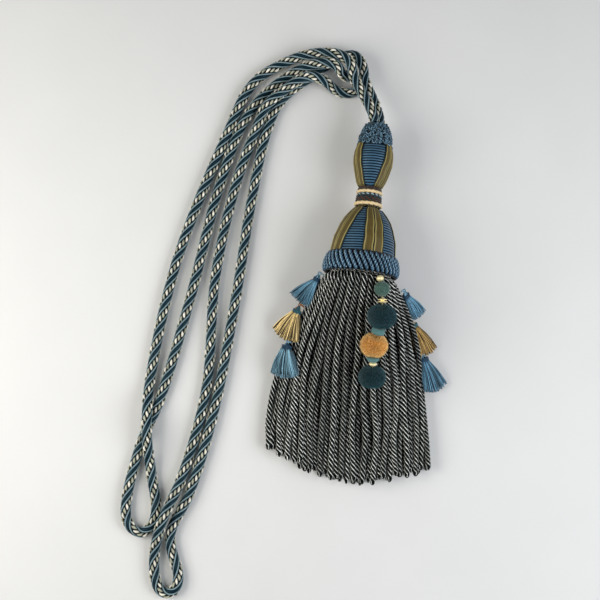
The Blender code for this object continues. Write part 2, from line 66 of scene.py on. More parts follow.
# The rope's middle line, from the tassel's head through the knot, down and back twice and into
# the head again. It lies on the table except where it crosses.
ROPE_ROUTE = (
    # out of the head and over the top of the knot
    (10.5, 107.6, 27.8), (9.6, 114.5, 27.2), (3.0, 130.5, 23.4), (-4.5, 145.5, 21.4),
    (-7.0, 157.0, 21.0), (-16.0, 165.0, 19.0), (-32.0, 168.0, 14.0), (-53.5, 165.0, 6.5),
    # first line down, over the second one
    (-83.5, 146.5, 4.2), (-105.0, 102.5, 4.2), (-142.5, 3.5, 4.2), (-161.5, -88.0, 4.2),
    (-162.5, -112.0, 11.5), (-162.0, -132.0, 13.0), (-159.5, -158.5, 5.0),
    # first loop
    (-155.5, -187.0, 4.2), (-159.0, -198.5, 4.2), (-166.5, -203.0, 4.2),
    (-174.5, -199.0, 4.2), (-178.5, -187.0, 4.2),
    # second line up
    (-169.0, -140.5, 4.2), (-153.0, -100.5, 4.2), (-131.0, -23.0, 4.2),
    (-110.5, 60.5, 4.2), (-89.8, 117.0, 4.2), (-67.0, 144.0, 4.2),
    # the knot's bight: over the bundle, under the neck and back below it
    (-42.5, 158.0, 9.5), (-24.5, 158.5, 19.0), (-17.0, 155.0, 19.5), (-13.5, 150.5, 15.5),
    (-7.5, 149.5, 10.5), (-1.5, 148.5, 6.0), (1.5, 144.5, 4.2), (-2.5, 140.0, 4.2),
    (-10.0, 138.5, 4.2), (-19.0, 141.5, 4.8), (-27.0, 147.0, 10.0), (-39.5, 149.5, 13.0),
    # third line down, over the first loop
    (-59.0, 138.0, 13.0), (-73.0, 125.5, 11.0), (-81.0, 108.5, 5.5), (-96.0, 67.5, 4.2),
    (-112.0, -7.0, 4.2), (-118.5, -96.0, 4.2), (-136.0, -161.5, 5.0), (-149.5, -193.5, 12.0),
    # second loop
    (-156.0, -217.5, 4.6), (-155.5, -236.0, 4.2), (-152.0, -245.0, 4.2),
    (-146.5, -247.8, 4.2), (-140.5, -245.0, 4.2), (-138.0, -236.0, 4.2),
    # fourth line up and through the knot's underside
    (-144.5, -205.5, 4.2), (-130.0, -173.0, 4.2), (-112.5, -112.5, 4.2),
    (-96.0, -24.0, 4.2), (-85.0, 48.5, 4.2), (-72.5, 108.0, 4.2), (-61.5, 132.5, 4.2),
    (-38.5, 151.5, 4.2), (-13.0, 167.0, 7.5), (-3.0, 167.0, 10.5), (3.0, 158.0, 12.5),
    # back into the head
    (4.5, 146.0, 13.5), (10.6, 130.5, 14.6), (14.9, 115.5, 18.8), (15.6, 106.8, 20.6),
)

HEAD_FOOT = (-1.1, -10.3, 27.3)     # on the axis, at the collar's lower edge
HEAD_TILT = 1.5                     # degrees the crown dips towards the table
HEAD_LEAN = 6.85                    # degrees the axis leans to the right
# places head-space, in millimetres: Z up the axis, -Y towards the viewer, X to the right
HEAD = (Matrix.Translation(HEAD_FOOT)
        @ Euler((-math.radians(90.0 + HEAD_TILT), 0.0, -math.radians(HEAD_LEAN))).to_matrix().to_4x4())
CROWN = (100.6, 117.5)
# distances along the axis from the collar's lower edge, and radii
BULB = ((100.2, 12.5), (95.3, 13.9), (90.7, 14.4), (86.2, 14.1), (81.6, 13.0), (77.0, 11.8),
        (72.9, 10.5), (69.1, 8.8))
WAIST = ((67.5, 6.5), (52.2, 6.5))
BELL = ((50.4, 11.0), (46.6, 14.4), (41.8, 17.8), (36.2, 20.2), (26.7, 23.1), (17.0, 23.9))
MOULD = BULB + WAIST + BELL + ((10.5, 23.9),)
# angle from the front at the bulb's top and foot and at the bell's top and foot, in degrees
RIBBONS = ((-66.0, -57.0, -42.0, -64.0), (62.0, 42.0, 16.0, 15.0), (121.0, 104.0, 98.0, 106.0),
           (179.0, 166.0, 162.0, 162.0), (-122.0, -126.0, -126.0, -132.0))
RIBBON_TURNS = (100.0, 67.0, 50.0, 16.2)        # where along the axis those angles hold
RIBBON_HALF = ((100.0, 5.4), (90.0, 6.0), (69.6, 4.5), (68.0, 3.4), (51.6, 3.4), (49.0, 5.0),
               (36.0, 7.2), (16.2, 8.0))
# from a ribbon's edge to its middle: place across, height, share of selvedge, how open it lies (low
# where it is painted darker, as painted shade)
RIBBON_RIM = ((-1.0, 0.35, 1.0, 0.0), (-0.97, 0.8, 1.0, 0.8), (-0.87, 1.1, 1.0, 1.0),
              (-0.74, 0.85, 0.6, 0.9), (-0.62, 0.62, 0.0, 0.45), (-0.2, 0.8, 0.0, 0.8))
COLLAR_H = 15.5
COLLAR_CORDS = 42
COLLAR_SLANT = 29.0
COLLAR_ROWS = ((0.0, 29.2), (4.0, 29.7), (8.0, 29.4), (12.0, 28.3), (15.5, 27.1))

SKIRT_FLARE = 1.18
SKIRT_SPREAD = (-71.0, 49.5)
HEM_MID = (-3.0, -162.5)
HEM_RISE = (25.5, 9.0)

# The small tassels: name, the threads of its fan, binding and loop, where its thread starts at the
# skirt, the loop's top, the neck, the neck's width, and the tips from the outer to the inner side.
SMALL_TASSELS = (
    ("tassel_left_1", ("blue", "navy", "sky"),
     (-28.6, -10.6, 32.6), (-31.4, -8.7, 31.8), (-34.3, -14.6, 29.6), 5.4,
     ((-54.1, -21.1, 13.0), (-49.4, -26.2, 15.0), (-43.9, -31.2, 19.0), (-38.1, -34.2, 24.0))),
    ("tassel_left_2", ("gold", "teal", "rust"),
     (-42.8, -34.4, 21.0), (-46.2, -31.4, 22.0), (-49.2, -38.0, 21.0), 7.6,
     ((-67.2, -47.5, 6.0), (-62.0, -54.6, 11.5), (-54.9, -59.0, 18.0), (-48.0, -59.6, 24.5))),
    ("tassel_left_3", ("light", "navy", "sky"),
     (-53.0, -60.6, 20.5), (-55.6, -59.4, 21.5), (-56.6, -65.2, 20.5), 8.6,
     ((-68.4, -82.1, 6.5), (-62.4, -85.6, 13.0), (-54.6, -86.6, 18.5), (-47.3, -84.6, 23.5))),
    ("tassel_right_1", ("blue", "navy", "sky"),
     (29.6, -22.6, 28.4), (32.0, -21.2, 26.6), (34.2, -26.4, 23.0), 6.0,
     ((49.6, -33.9, 8.0), (46.9, -38.0, 8.6), (43.3, -40.8, 12.0), (38.9, -42.6, 16.5))),
    ("tassel_right_2", ("brown", "teal", "straw"),
     (36.4, -46.0, 18.0), (38.6, -42.8, 15.4), (40.8, -48.4, 13.4), 6.8,
     ((59.2, -62.6, 3.4), (54.8, -66.6, 5.0), (49.6, -69.2, 9.0), (43.6, -70.2, 13.0))),
    ("tassel_right_3", ("blue", "navy", "sky"),
     (44.0, -70.8, 13.0), (47.4, -69.2, 11.6), (48.8, -74.0, 10.6), 7.2,
     ((66.4, -89.7, 3.0), (62.3, -94.6, 4.0), (56.1, -97.0, 7.0), (48.4, -96.6, 12.0))),
)

# the string of beads and pompoms: name, what it is made of, its material slot, its centre, length
# along the string and diameter
BEADS = (
    ("bead_top", "brass", "gold_metal", (11.6, -15.9, 54.8), 4.5, 5.5),
    ("velvet_ball", "velvet", "velvet", (13.0, -23.6, 54.8), 10.6, 10.9),
    ("spacer", "brass", "gold_metal", (13.2, -31.7, 54.4), 4.3, 7.0),
    ("pompom_a", "teal", "teal_wool", (12.8, -43.6, 53.5), 18.0, 21.6),
    ("connector", "felt", "teal_wool", (10.3, -54.0, 50.2), 2.1, 9.4),
    ("pompom_b", "peach", "peach_wool", (7.4, -64.0, 46.6), 18.2, 20.4),
    ("bead_grey", "felt", "velvet", (6.93, -74.73, 43.1), 2.8, 9.2),
    ("bead_low", "brass", "gold_metal", (6.81, -77.38, 42.3), 3.42, 5.94),
    ("pompom_c", "teal", "teal_wool", (6.4, -86.8, 39.4), 17.2, 20.0),
)
# (distance along, radius) of the shaped ones: two washers, a felt disc and a felt cone
BEAD_SHAPES = {
    "spacer": ((-2.365, 0.8), (-1.075, 0.9), (-0.86, 2.1), (-0.645, 3.5), (-0.258, 3.5), (0.0, 2.1),
               (0.215, 1.4), (0.645, 1.4), (0.86, 2.45), (1.075, 3.85), (1.505, 3.85), (1.72, 2.1),
               (2.15, 0.9)),
    "connector": ((-2.31, 3.995), (-1.848, 4.7), (0.0, 5.076), (1.848, 4.7), (2.31, 3.525)),
    "bead_grey": ((-2.24, 3.68), (-1.82, 4.6), (-0.84, 4.692), (0.0, 4.14), (0.84, 3.036), (1.4, 1.84)),
}


# ---------------------------------------------------------------- settings a user would change
def linear(code):
    """An sRGB hex colour as the linear values that Blender's colours hold."""
    values = [int(code[k:k + 2], 16) / 255 for k in (1, 3, 5)]
    return tuple(v / 12.92 if v <= 0.04045 else ((v + 0.055) / 1.055) ** 2.4 for v in values)


def colour(name, description, code):
    """A colour setting with its default as a hex code."""
    return FloatVectorProperty(name=name, description=description, default=linear(code),
                               subtype="COLOR", min=0.0, max=1.0)


def length(name, description, millimetres):
    """A length setting with its default in millimetres."""
    return FloatProperty(name=name, description=description, default=millimetres * MM,
                         subtype="DISTANCE", unit="LENGTH", min=0.0, precision=5)


class RopeSettings(PropertyGroup):
    """The long rope."""
    pitch: length("Rope pitch", "Length of one full turn of the four strands", 39.0)
    ply_pitch: length("Beaded cord pitch", "Length of one full turn of the two plies", 8.1)
    satin: colour("Satin", "Wide teal strands", "#081920")
    # the gleam is a painted highlight along the satin's crest
    gleam: colour("Satin gleam", "The satin where it lies on top", "#0e2a38")
    gimp: colour("Gimp", "Thin light cords beside the satin", "#87a3ac")
    cream: colour("Cream ply", "Lighter ply of the beaded cords", "#f6f2e2")
    sage: colour("Sage ply", "Darker ply of the beaded cords", "#b9bba5")


class HeadSettings(PropertyGroup):
    """The wound head of the tassel."""
    wind_pitch: length("Winding pitch", "Width of one turn of the winding cord", 1.95)
    winding: colour("Winding", "Cord wound around the mould", "#40637d")
    loops: colour("Crown loops", "Knotted loops around the rope's ends", "#1a3549")
    # the crown's glint is a painted highlight along the crests of its cords
    loop_glint: colour("Crown glint", "Light threads on the loops", "#86afc7")
    collar: colour("Collar", "Twisted cords of the collar", "#426d8d")
    # the collar's glint is a painted highlight along the crests of its cords
    collar_glint: colour("Collar glint", "Light threads on the collar's cords", "#c8e4f0")
    ribbon: colour("Ribbon", "Olive-gold ribbons", "#6b5a26")
    ribbon_edge: colour("Ribbon edge", "Lighter edges of the ribbons", "#b9ab68")
    cream: colour("Cream cord", "The two light rings at the waist", "#f3d9a6")
    dark: colour("Dark cord", "The dark band at the waist", "#1d2627")


class SkirtSettings(PropertyGroup):
    """The bullion skirt."""
    cord: length("Cord thickness", "Diameter of one bullion cord", 4.3)
    pitch: length("Cord pitch", "Length of one full turn of a bullion cord", 13.8)
    yarn: colour("Bullion yarn", "Dark yarn of the skirt", "#090e0e")
    # the glint is partly pale threads on each ply's crest, painted bright as the highlight the light
    # makes there
    glint: colour("Bullion glint", "Pale threads along the crest of each ply", "#fafdf5")


class TrimSettings(PropertyGroup):
    """Small tassels, beads and pompoms."""
    threads: IntProperty(name="Threads", description="Threads in one small tassel",
                         default=230, min=20, max=300)
    blue: colour("Blue thread", "Small blue tassels", "#6a9cb8")
    light_blue: colour("Light blue thread", "The lowest left tassel", "#98cde6")
    gold: colour("Gold thread", "Small gold tassels", "#fcdf9c")
    brown: colour("Brown thread", "The gold-brown tassel on the right", "#c9a462")
    teal: colour("Teal wool", "Two dark pompoms", "#0b2f37")
    peach: colour("Peach wool", "The middle pompom", "#e0983c")
    sage: colour("Sage velvet", "The velvet ball", "#233d35")


# ---------------------------------------------------------------- lines and tubes
def unit(vectors):
    """Each row at length 1."""
    return vectors / np.maximum(np.linalg.norm(vectors, axis=-1, keepdims=True), 1e-12)


def reach(line):
    """Distance along a line at each of its points."""
    return np.concatenate([[0.0], np.cumsum(np.linalg.norm(np.diff(line, axis=0), axis=1))])


def circle(angle, ahead, aside):
    """Points at angles, in radians, of the circle or ellipse that two directions span."""
    return np.cos(angle)[..., None] * ahead + np.sin(angle)[..., None] * aside


def curve_through(points, step):
    """Centripetal Catmull-Rom curve through the points, evenly stepped."""
    pts = [Vector(p) for p in points]
    pts = [pts[0] * 2 - pts[1]] + pts + [pts[-1] * 2 - pts[-2]]
    out = []
    for p0, p1, p2, p3 in zip(pts, pts[1:], pts[2:], pts[3:]):
        t1 = (p1 - p0).length ** 0.5
        t2 = t1 + (p2 - p1).length ** 0.5
        t3 = t2 + (p3 - p2).length ** 0.5
        for part in range(12):
            t = t1 + (t2 - t1) * part / 12
            a1 = p0.lerp(p1, t / t1)
            a2 = p1.lerp(p2, (t - t1) / (t2 - t1))
            a3 = p2.lerp(p3, (t - t2) / (t3 - t2))
            out.append(a1.lerp(a2, t / t2).lerp(a2.lerp(a3, (t - t1) / (t3 - t1)), (t - t1) / (t2 - t1)))
    line = np.array([tuple(p) for p in (*out, pts[-2])])
    far = reach(line)
    at = np.linspace(0.0, far[-1], max(2, round(far[-1] / step) + 1))
    return np.stack([np.interp(at, far, line[:, k]) for k in range(3)], axis=1)


def table(rows, at):
    """Read (place, value) pairs with straight lines between them."""
    rising = sorted(rows)
    return np.interp(at, [row[0] for row in rising], [row[1] for row in rising])


def frames(line, up=UP):
    """The direction nearest to up, and the one across it, at each point of a line."""
    tangent = unit(np.gradient(line, axis=0))
    up = np.broadcast_to(up, line.shape)
    out = unit(up - tangent * np.sum(up * tangent, axis=1, keepdims=True))
    return out, np.cross(tangent, out)


def helix(line, radius, pitch, phase):
    """A strand laid around a line: its points and its directions away from that line.

    The pitch is positive for a right-handed twist, and the phase is in turns.
    """
    away = circle(TURN * (reach(line) / pitch + phase), *frames(line))
    return line + away * np.reshape(radius, (-1, 1)), away


class Yarn:
    """Gathers swept shapes, in millimetres, and makes one mesh of them."""

    def __init__(self):
        self.points, self.faces, self.lay, self.tone, self.outer, self.look = ([] for _ in range(6))
        self.count = 0

    def sweep(self, rings, along, tone=0.5, look=0, outer=1.0, closed=False):
        """Skin rings of points, from end to end or closed on themselves. The lay map holds
        millimetres along and around, tone is a cord's own shade, set low on hidden parts as painted
        shade, and outer is 1 on what lies open and 0 in the hollows, where the materials paint shade.
        """
        rings = np.asarray(rings, float)
        stations, sides, _ = rings.shape
        middle = rings[stations // 2]
        girth = np.linalg.norm(middle - np.roll(middle, 1, 0), axis=1).sum()
        if closed:
            along = np.append(along, 2 * along[-1] - along[-2])
        k, i = np.meshgrid(np.arange(len(along) - 1), np.arange(sides), indexing="ij")
        after, j = (k + 1) % stations, (i + 1) % sides
        corners = np.stack([k * sides + i, k * sides + j, after * sides + j, after * sides + i], -1)
        self.faces += (corners.reshape(-1, 4) + self.count).tolist()
        near, far = along[k], along[k + 1]
        left, right = i / sides * girth, (i + 1) / sides * girth
        self.lay.append(np.stack([near, left, near, right, far, right, far, left], -1).reshape(-1, 2))
        self.look += [look] * k.size
        if not closed:
            first = list(range(self.count, self.count + sides))
            self.faces += [first[::-1], [point + (stations - 1) * sides for point in first]]
            self.lay += [np.tile([at, 0.0], (sides, 1)) for at in (along[0], along[-1])]
            self.look += [look, look]
        self.points.append(rings.reshape(-1, 3))
        self.tone.append(np.broadcast_to(tone, (stations, sides)).reshape(-1))
        self.outer.append(np.broadcast_to(outer, (stations, sides)).reshape(-1))
        self.count += stations * sides

    def tube(self, line, size, sides, away=UP, facing=None, wide=1.0, tone=0.5, look=0,
             round_ends=False):
        """A cord around a line. Wide stretches it sideways, away is where its first corner points,
        and facing is where it lies open, the same way unless it is given.
        """
        out, across = frames(line, away)
        size = np.broadcast_to(np.asarray(size, float), len(line)).copy()
        if round_ends:
            size[[0, -1]] *= 0.45
        spokes = circle(TURN * np.arange(sides) / sides, out[:, None], across[:, None] * wide)
        facing = out if facing is None else facing
        outer = 0.5 + 0.5 * np.clip(np.sum(spokes * facing[:, None], axis=2), -1, 1)
        self.sweep(line[:, None] + size[:, None, None] * spokes, reach(line), np.reshape(tone, (-1, 1)),
                   look, outer)

    def piece(self, name, looks, node_slot, stands_for=(), place=None):
        """Make the mesh, in metres, as a piece that rides on the body and stands for CAD nodes."""
        points = np.concatenate(self.points)
        if place:
            points = points @ np.array(place.to_3x3()).T + np.array(place.translation)
        points[:, 2] = np.maximum(points[:, 2], CLEAR)
        mesh = bpy.data.meshes.new(name)
        mesh.from_pydata((points * MM).tolist(), [], self.faces)
        mesh.polygons.foreach_set("use_smooth", [True] * len(self.faces))
        mesh.polygons.foreach_set("material_index", self.look)
        lay = mesh.uv_layers.new(name="lay")
        lay.data.foreach_set("uv", np.concatenate(self.lay).astype(np.float32).ravel())
        for attribute, values in (("tone", self.tone), ("outer", self.outer)):
            made = mesh.attributes.new(attribute, "FLOAT", "POINT")
            made.data.foreach_set("value", np.concatenate(values).astype(np.float32))
        for look in looks:
            mesh.materials.append(look)
        mesh.update()
        made = bpy.data.objects.new(name, mesh)
        bpy.context.scene.collection.objects.link(made)
        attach(made, "root")
        if stands_for:
            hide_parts(*stands_for)
        return made


def around(radius, degrees, along):
    """Points in head-space, their angle counted from the front towards the right."""
    radius, angle, along = np.broadcast_arrays(radius, np.radians(degrees), along)
    return np.stack([radius * np.sin(angle), -radius * np.cos(angle), along], axis=-1)


def whole_turn(count):
    """So many even angles, in degrees, once around."""
    return np.linspace(0.0, 360.0, count + 1)[:-1]


# ---------------------------------------------------------------- materials
def add(tree, kind, values=None, links=None, **settings):
    """Add a node with its own settings, the values on its inputs and the links into them."""
    node = tree.nodes.new(kind)
    for name, value in settings.items():
        setattr(node, name, value)
    for name, value in (values or {}).items():
        node.inputs[name].default_value = value
    for name, source in (links or {}).items():
        tree.links.new(source, node.inputs[name])
    return node


def started(name, levels):
    """A new material with its tree, and its shader with constant levels on its sockets."""
    made = bpy.data.materials.new(name)
    made.use_nodes = True
    shader = made.node_tree.nodes["Principled BSDF"]
    for socket, level in levels.items():
        shader.inputs[socket].default_value = level
    return made, made.node_tree, shader


def threads(tree, spacing, slant):
    """Height from 0 to 1 of fine threads laid along a cord, at a slant in degrees. The lay map is in
    millimetres, so spacing is the real distance between two threads.
    """
    lay = add(tree, "ShaderNodeUVMap", uv_map="lay")
    across = Vector((math.sin(math.radians(slant)), math.cos(math.radians(slant)), 0.0))
    phase = add(tree, "ShaderNodeVectorMath", {1: across * TURN / spacing}, {0: lay.outputs[0]},
                operation="DOT_PRODUCT")
    wave = add(tree, "ShaderNodeMath", links={0: phase.outputs["Value"]}, operation="SINE")
    return add(tree, "ShaderNodeMath", {1: 0.5, 2: 0.5}, {0: wave.outputs[0]},
               operation="MULTIPLY_ADD").outputs[0]


def cloudy(tree, size):
    """Slow uneven shade, from 0 to 1, in patches of that many millimetres."""
    spot = add(tree, "ShaderNodeTexCoord")
    return add(tree, "ShaderNodeTexNoise", {"Scale": 1.0 / (size * MM), "Detail": 2.0},
               {"Vector": spot.outputs["Object"]}).outputs["Fac"]


def dress(tree, shader, dyed, shades, height=None, strength=0.0, depth=0.0):
    """Lead a colour, or a socket that gives one, to the shader, made darker or lighter by each
    (value, low, high) in turn, and a height as relief of that depth in millimetres.
    """
    for value, low, high in shades:
        amount = add(tree, "ShaderNodeMapRange", {"To Min": low, "To Max": high}, {"Value": value})
        deeper = add(tree, "ShaderNodeVectorMath", links={"Scale": amount.outputs[0]},
                     operation="SCALE")
        if isinstance(dyed, tuple):
            deeper.inputs[0].default_value = dyed
        else:
            tree.links.new(dyed, deeper.inputs[0])
        dyed = deeper.outputs[0]
    tree.links.new(dyed, shader.inputs["Base Color"])
    if height:
        bump = add(tree, "ShaderNodeBump", {"Strength": strength, "Distance": depth * MM},
                   {"Height": height})
        tree.links.new(bump.outputs[0], shader.inputs["Normal"])


def spun_yarn(name, base, spacing, slant, depth, roughness, sheen, tones=(0.55, 1.3), hollow_shade=0.3,
              crest=None, ridge=(0.8, 0.97), patch=(9.0, 0.82, 1.18), shine=0.5):
    """Yarn or cord of many parallel threads: the threads show as fine lines along the lay, painted
    darker in the grooves between them, each cord has its own shade, and its hidden side is painted
    darker as painted shade. A crest colour is painted along its outer side alone as a painted
    highlight, and ridge is where it begins and is full. Patch is the size of its uneven spots in
    millimetres, with their darkest and lightest shade, and shine is the specular level of the
    threads that lie open.
    """
    dyed = base = tuple(base)
    # the filaments are clear, so light that comes back through them is tinted by the dye
    tint = (*[(c / max(base)) ** 0.4 for c in base], 1.0)
    made, tree, shader = started(name, {"Roughness": roughness, "Sheen Weight": sheen, "IOR": 1.5,
                                        "Sheen Roughness": 0.4, "Specular Tint": tint})
    lines = threads(tree, spacing, slant)
    outer, tone = (add(tree, "ShaderNodeAttribute", attribute_name=kind).outputs["Fac"]
                   for kind in ("outer", "tone"))
    # the crest colour is a painted highlight along the outer side of each cord
    if crest:
        raised = add(tree, "ShaderNodeMapRange", {"From Min": ridge[0], "From Max": ridge[1]},
                     {"Value": outer}, interpolation_type="SMOOTHSTEP")
        dyed = add(tree, "ShaderNodeMix", {6: (*base, 1.0), 7: (*crest, 1.0)},
                   {0: raised.outputs[0]}, data_type="RGBA").outputs[2]
    # how openly each point lies: the colour is painted darker where it lies hidden, as painted shade
    open_side = add(tree, "ShaderNodeMapRange", {"From Min": 0.35, "From Max": 0.95},
                    {"Value": outer}, interpolation_type="SMOOTHSTEP").outputs[0]
    dress(tree, shader, dyed, ((tone, *tones), (lines, 0.78, 1.08),
                               (cloudy(tree, patch[0]), *patch[1:]), (open_side, hollow_shade, 1.0)),
          lines, 0.6, depth)
    # threads deep between others are hidden from the light, so they don't gleam
    gleam = add(tree, "ShaderNodeMath", {1: shine}, {0: open_side}, operation="MULTIPLY")
    tree.links.new(gleam.outputs[0], shader.inputs["Specular IOR Level"])
    return made


def woven_ribbon(name, base, edge):
    """Viscose grosgrain ribbon: fine ribs across it, painted darker in their grooves as painted shade,
    and a firmer, lighter selvedge each side. The tone attribute is 1 on the selvedge and 0 on the
    ground, and the outer attribute paints shade in the dips and on the underside.
    """
    made, tree, shader = started(name, {"Roughness": 0.48, "Specular IOR Level": 0.35,
                                        "Sheen Weight": 0.1, "Sheen Roughness": 0.35})
    # real ribs are 0.4 mm apart; at 0.8 mm they still show in the render
    ribs = threads(tree, 0.8, 90.0)
    outer, tone = (add(tree, "ShaderNodeAttribute", attribute_name=kind).outputs["Fac"]
                   for kind in ("outer", "tone"))
    both = add(tree, "ShaderNodeMix", {6: (*base, 1.0), 7: (*edge, 1.0)}, {0: tone},
               data_type="RGBA")
    dress(tree, shader, both.outputs[2],
          ((ribs, 0.88, 1.06), (threads(tree, 0.9, 0.0), 0.78, 1.1), (cloudy(tree, 6.0), 0.75, 1.2),
           (outer, 0.25, 1.0)), ribs, 0.35, 0.12)
    return made


def clipped_wool(name, base, tip, fleck):
    """Wool or velvet pile: matte, its tips lighter than its depth, the depth painted darker as painted
    shade and the tips lighter as painted highlight, with uneven tufts. The outer attribute runs
    from 0 at a hair's foot to 1 at its tip.
    """
    made, tree, shader = started(name, {"Roughness": 0.95, "Specular IOR Level": 0.2,
                                        "Sheen Weight": 0.2, "Sheen Roughness": 0.5})
    tufts = cloudy(tree, 1.6)
    outer, tone = (add(tree, "ShaderNodeAttribute", attribute_name=kind).outputs["Fac"]
                   for kind in ("outer", "tone"))
    both = add(tree, "ShaderNodeMix", {6: (*base, 1.0), 7: (*linear(tip), 1.0)}, {0: outer},
               data_type="RGBA")
    dress(tree, shader, both.outputs[2], ((tufts, 1.0 - fleck, 1.0 + fleck),
                                          (cloudy(tree, 7.0), 0.75, 1.25), (tone, 0.5, 1.5)),
          tufts, 0.5, 0.4)
    return made


def brass_with_painted_light(name):
    """Stamped brass bead, only part metal: soft highlights, and its pale diffuse share is painted
    light that keeps it bright where bare metal would mirror a dark room.
    """
    made, tree, shader = started(name, {"Metallic": 0.7})
    marks = cloudy(tree, 1.2)
    dress(tree, shader, linear("#fff0bd"), ((marks, 0.9, 1.1),))
    worn = add(tree, "ShaderNodeMapRange", {"To Min": 0.5, "To Max": 0.62}, {"Value": marks})
    tree.links.new(worn.outputs[0], shader.inputs["Roughness"])
    return made


def matte_table(name):
    """Matte laminate table top: pale grey, with a very faint mottle."""
    made, tree, shader = started(name, {"Roughness": 0.7})
    dress(tree, shader, linear("#e2e3e2"), ((cloudy(tree, 60.0), 0.97, 1.03),))
    return made


# ---------------------------------------------------------------- rope
def rope_route(step):
    """The rope's middle line in millimetres, clear of the table."""
    line = curve_through(ROPE_ROUTE, step)
    line[:, 2] = np.maximum(line[:, 2], ROPE_D / 2 + 0.02)
    return line


class TIEBACK_OT_rope(Operator):
    """Lay the four-strand rope: two satin strands, two beaded cords and four gimp cords"""
    bl_idname = "tieback.rope"
    bl_label = "Rope"

    # radii of the strands, and how far each runs from the line that it is laid around
    CORE_R = 2.95
    SATIN_R, SATIN_OFF, SATIN_WIDE = 1.25, 2.65, 1.15
    GIMP_R, GIMP_OFF = 0.6, 3.4
    GIMP_TURN = 0.094               # of the rope's turn, from its satin strand to each side
    BEADED_R, BEADED_OFF = 1.2, 2.4
    PLY_R, PLY_OFF, PLY_SWELL = 0.45, 1.1, 0.65

    def execute(self, context):
        wanted = context.scene.tieback_rope
        pitch = wanted.pitch / MM
        # the core shows only in the gaps between strands, and its darkened satin colour is painted shade
        core = spun_yarn("rope_core_painted_shade", wanted.satin * 0.3, 0.8, 20.0, 0.1, 0.8, 0.0)
        looks = [
            # rayon satin laid parallel: dark, with a long soft teal gleam painted along each strand's
            # crest as a painted highlight, and its sides painted near black as painted shade
            spun_yarn("rayon_satin_teal", wanted.satin, 0.6, 8.0, 0.1, 0.3, 0.0, hollow_shade=0.03,
                      crest=wanted.gleam, ridge=(0.9, 1.0), shine=0.22),
            # fine gimp cord: a thread wrapped around a core, so its lines run across it
            spun_yarn("wrapped_gimp", wanted.gimp, 0.7, 62.0, 0.1, 0.42, 0.2, hollow_shade=0.2), core,
        ]
        line = rope_route(1.5)
        body = Yarn()
        body.tube(line[::2], self.CORE_R, 8, look=2, tone=0.2)
        for turn in (0.0, 0.5):
            strand, away = helix(line, self.SATIN_OFF, pitch, turn)
            body.tube(strand, self.SATIN_R, 10, away, wide=self.SATIN_WIDE)
            for side in (-1, 1):
                gimp, away = helix(line, self.GIMP_OFF, pitch, turn + side * self.GIMP_TURN)
                body.tube(gimp, self.GIMP_R, 6, away, look=1)
        rope = body.piece("rope_strands", looks, "rope", ["rope"])

        # mercerised cotton ply: pale and softly glossy, its threads twisted round it
        looks = [spun_yarn(f"mercerised_cotton_{name}", shade, 0.5, 30.0, 0.08, 0.4, 0.2, tones, 0.02)
                 for name, shade, tones in (("cream", wanted.cream, (0.9, 1.25)),
                                            ("sage", wanted.sage, (0.7, 1.3)))]
        plies = Yarn()
        rng = np.random.default_rng(5)
        for turn in (0.25, 0.75):
            strand, outward = helix(rope_route(0.9), self.BEADED_OFF, pitch, turn)
            # a dark core under the plies, seen in their gaps as painted shade
            plies.tube(strand[::3], self.BEADED_R, 4, look=2, tone=0.2)
            for look in (0, 1):
                ply, away = helix(strand, self.PLY_OFF, -wanted.ply_pitch / MM, look / 2)
                # a ply swells where it lies on top and is pinched where it goes under
                crest = np.clip(np.sum(away * outward, axis=1), 0.0, 1.0)
                knots = rng.uniform(-1, 1, len(ply) // 6 + 2)
                tone = 0.5 + 0.5 * np.interp(np.arange(len(ply)), np.arange(len(knots)) * 6, knots)
                size = self.PLY_R + self.PLY_SWELL * crest ** 1.2
                # outer is measured from the rope's middle, so each ply's side turned inwards is painted
                # near black, as painted shade between the beads
                plies.tube(ply, size, 6, away, outward, tone=tone, look=look)
        beaded = plies.piece("rope_beaded_cords", [*looks, core], "rope")
        return {"FINISHED"}


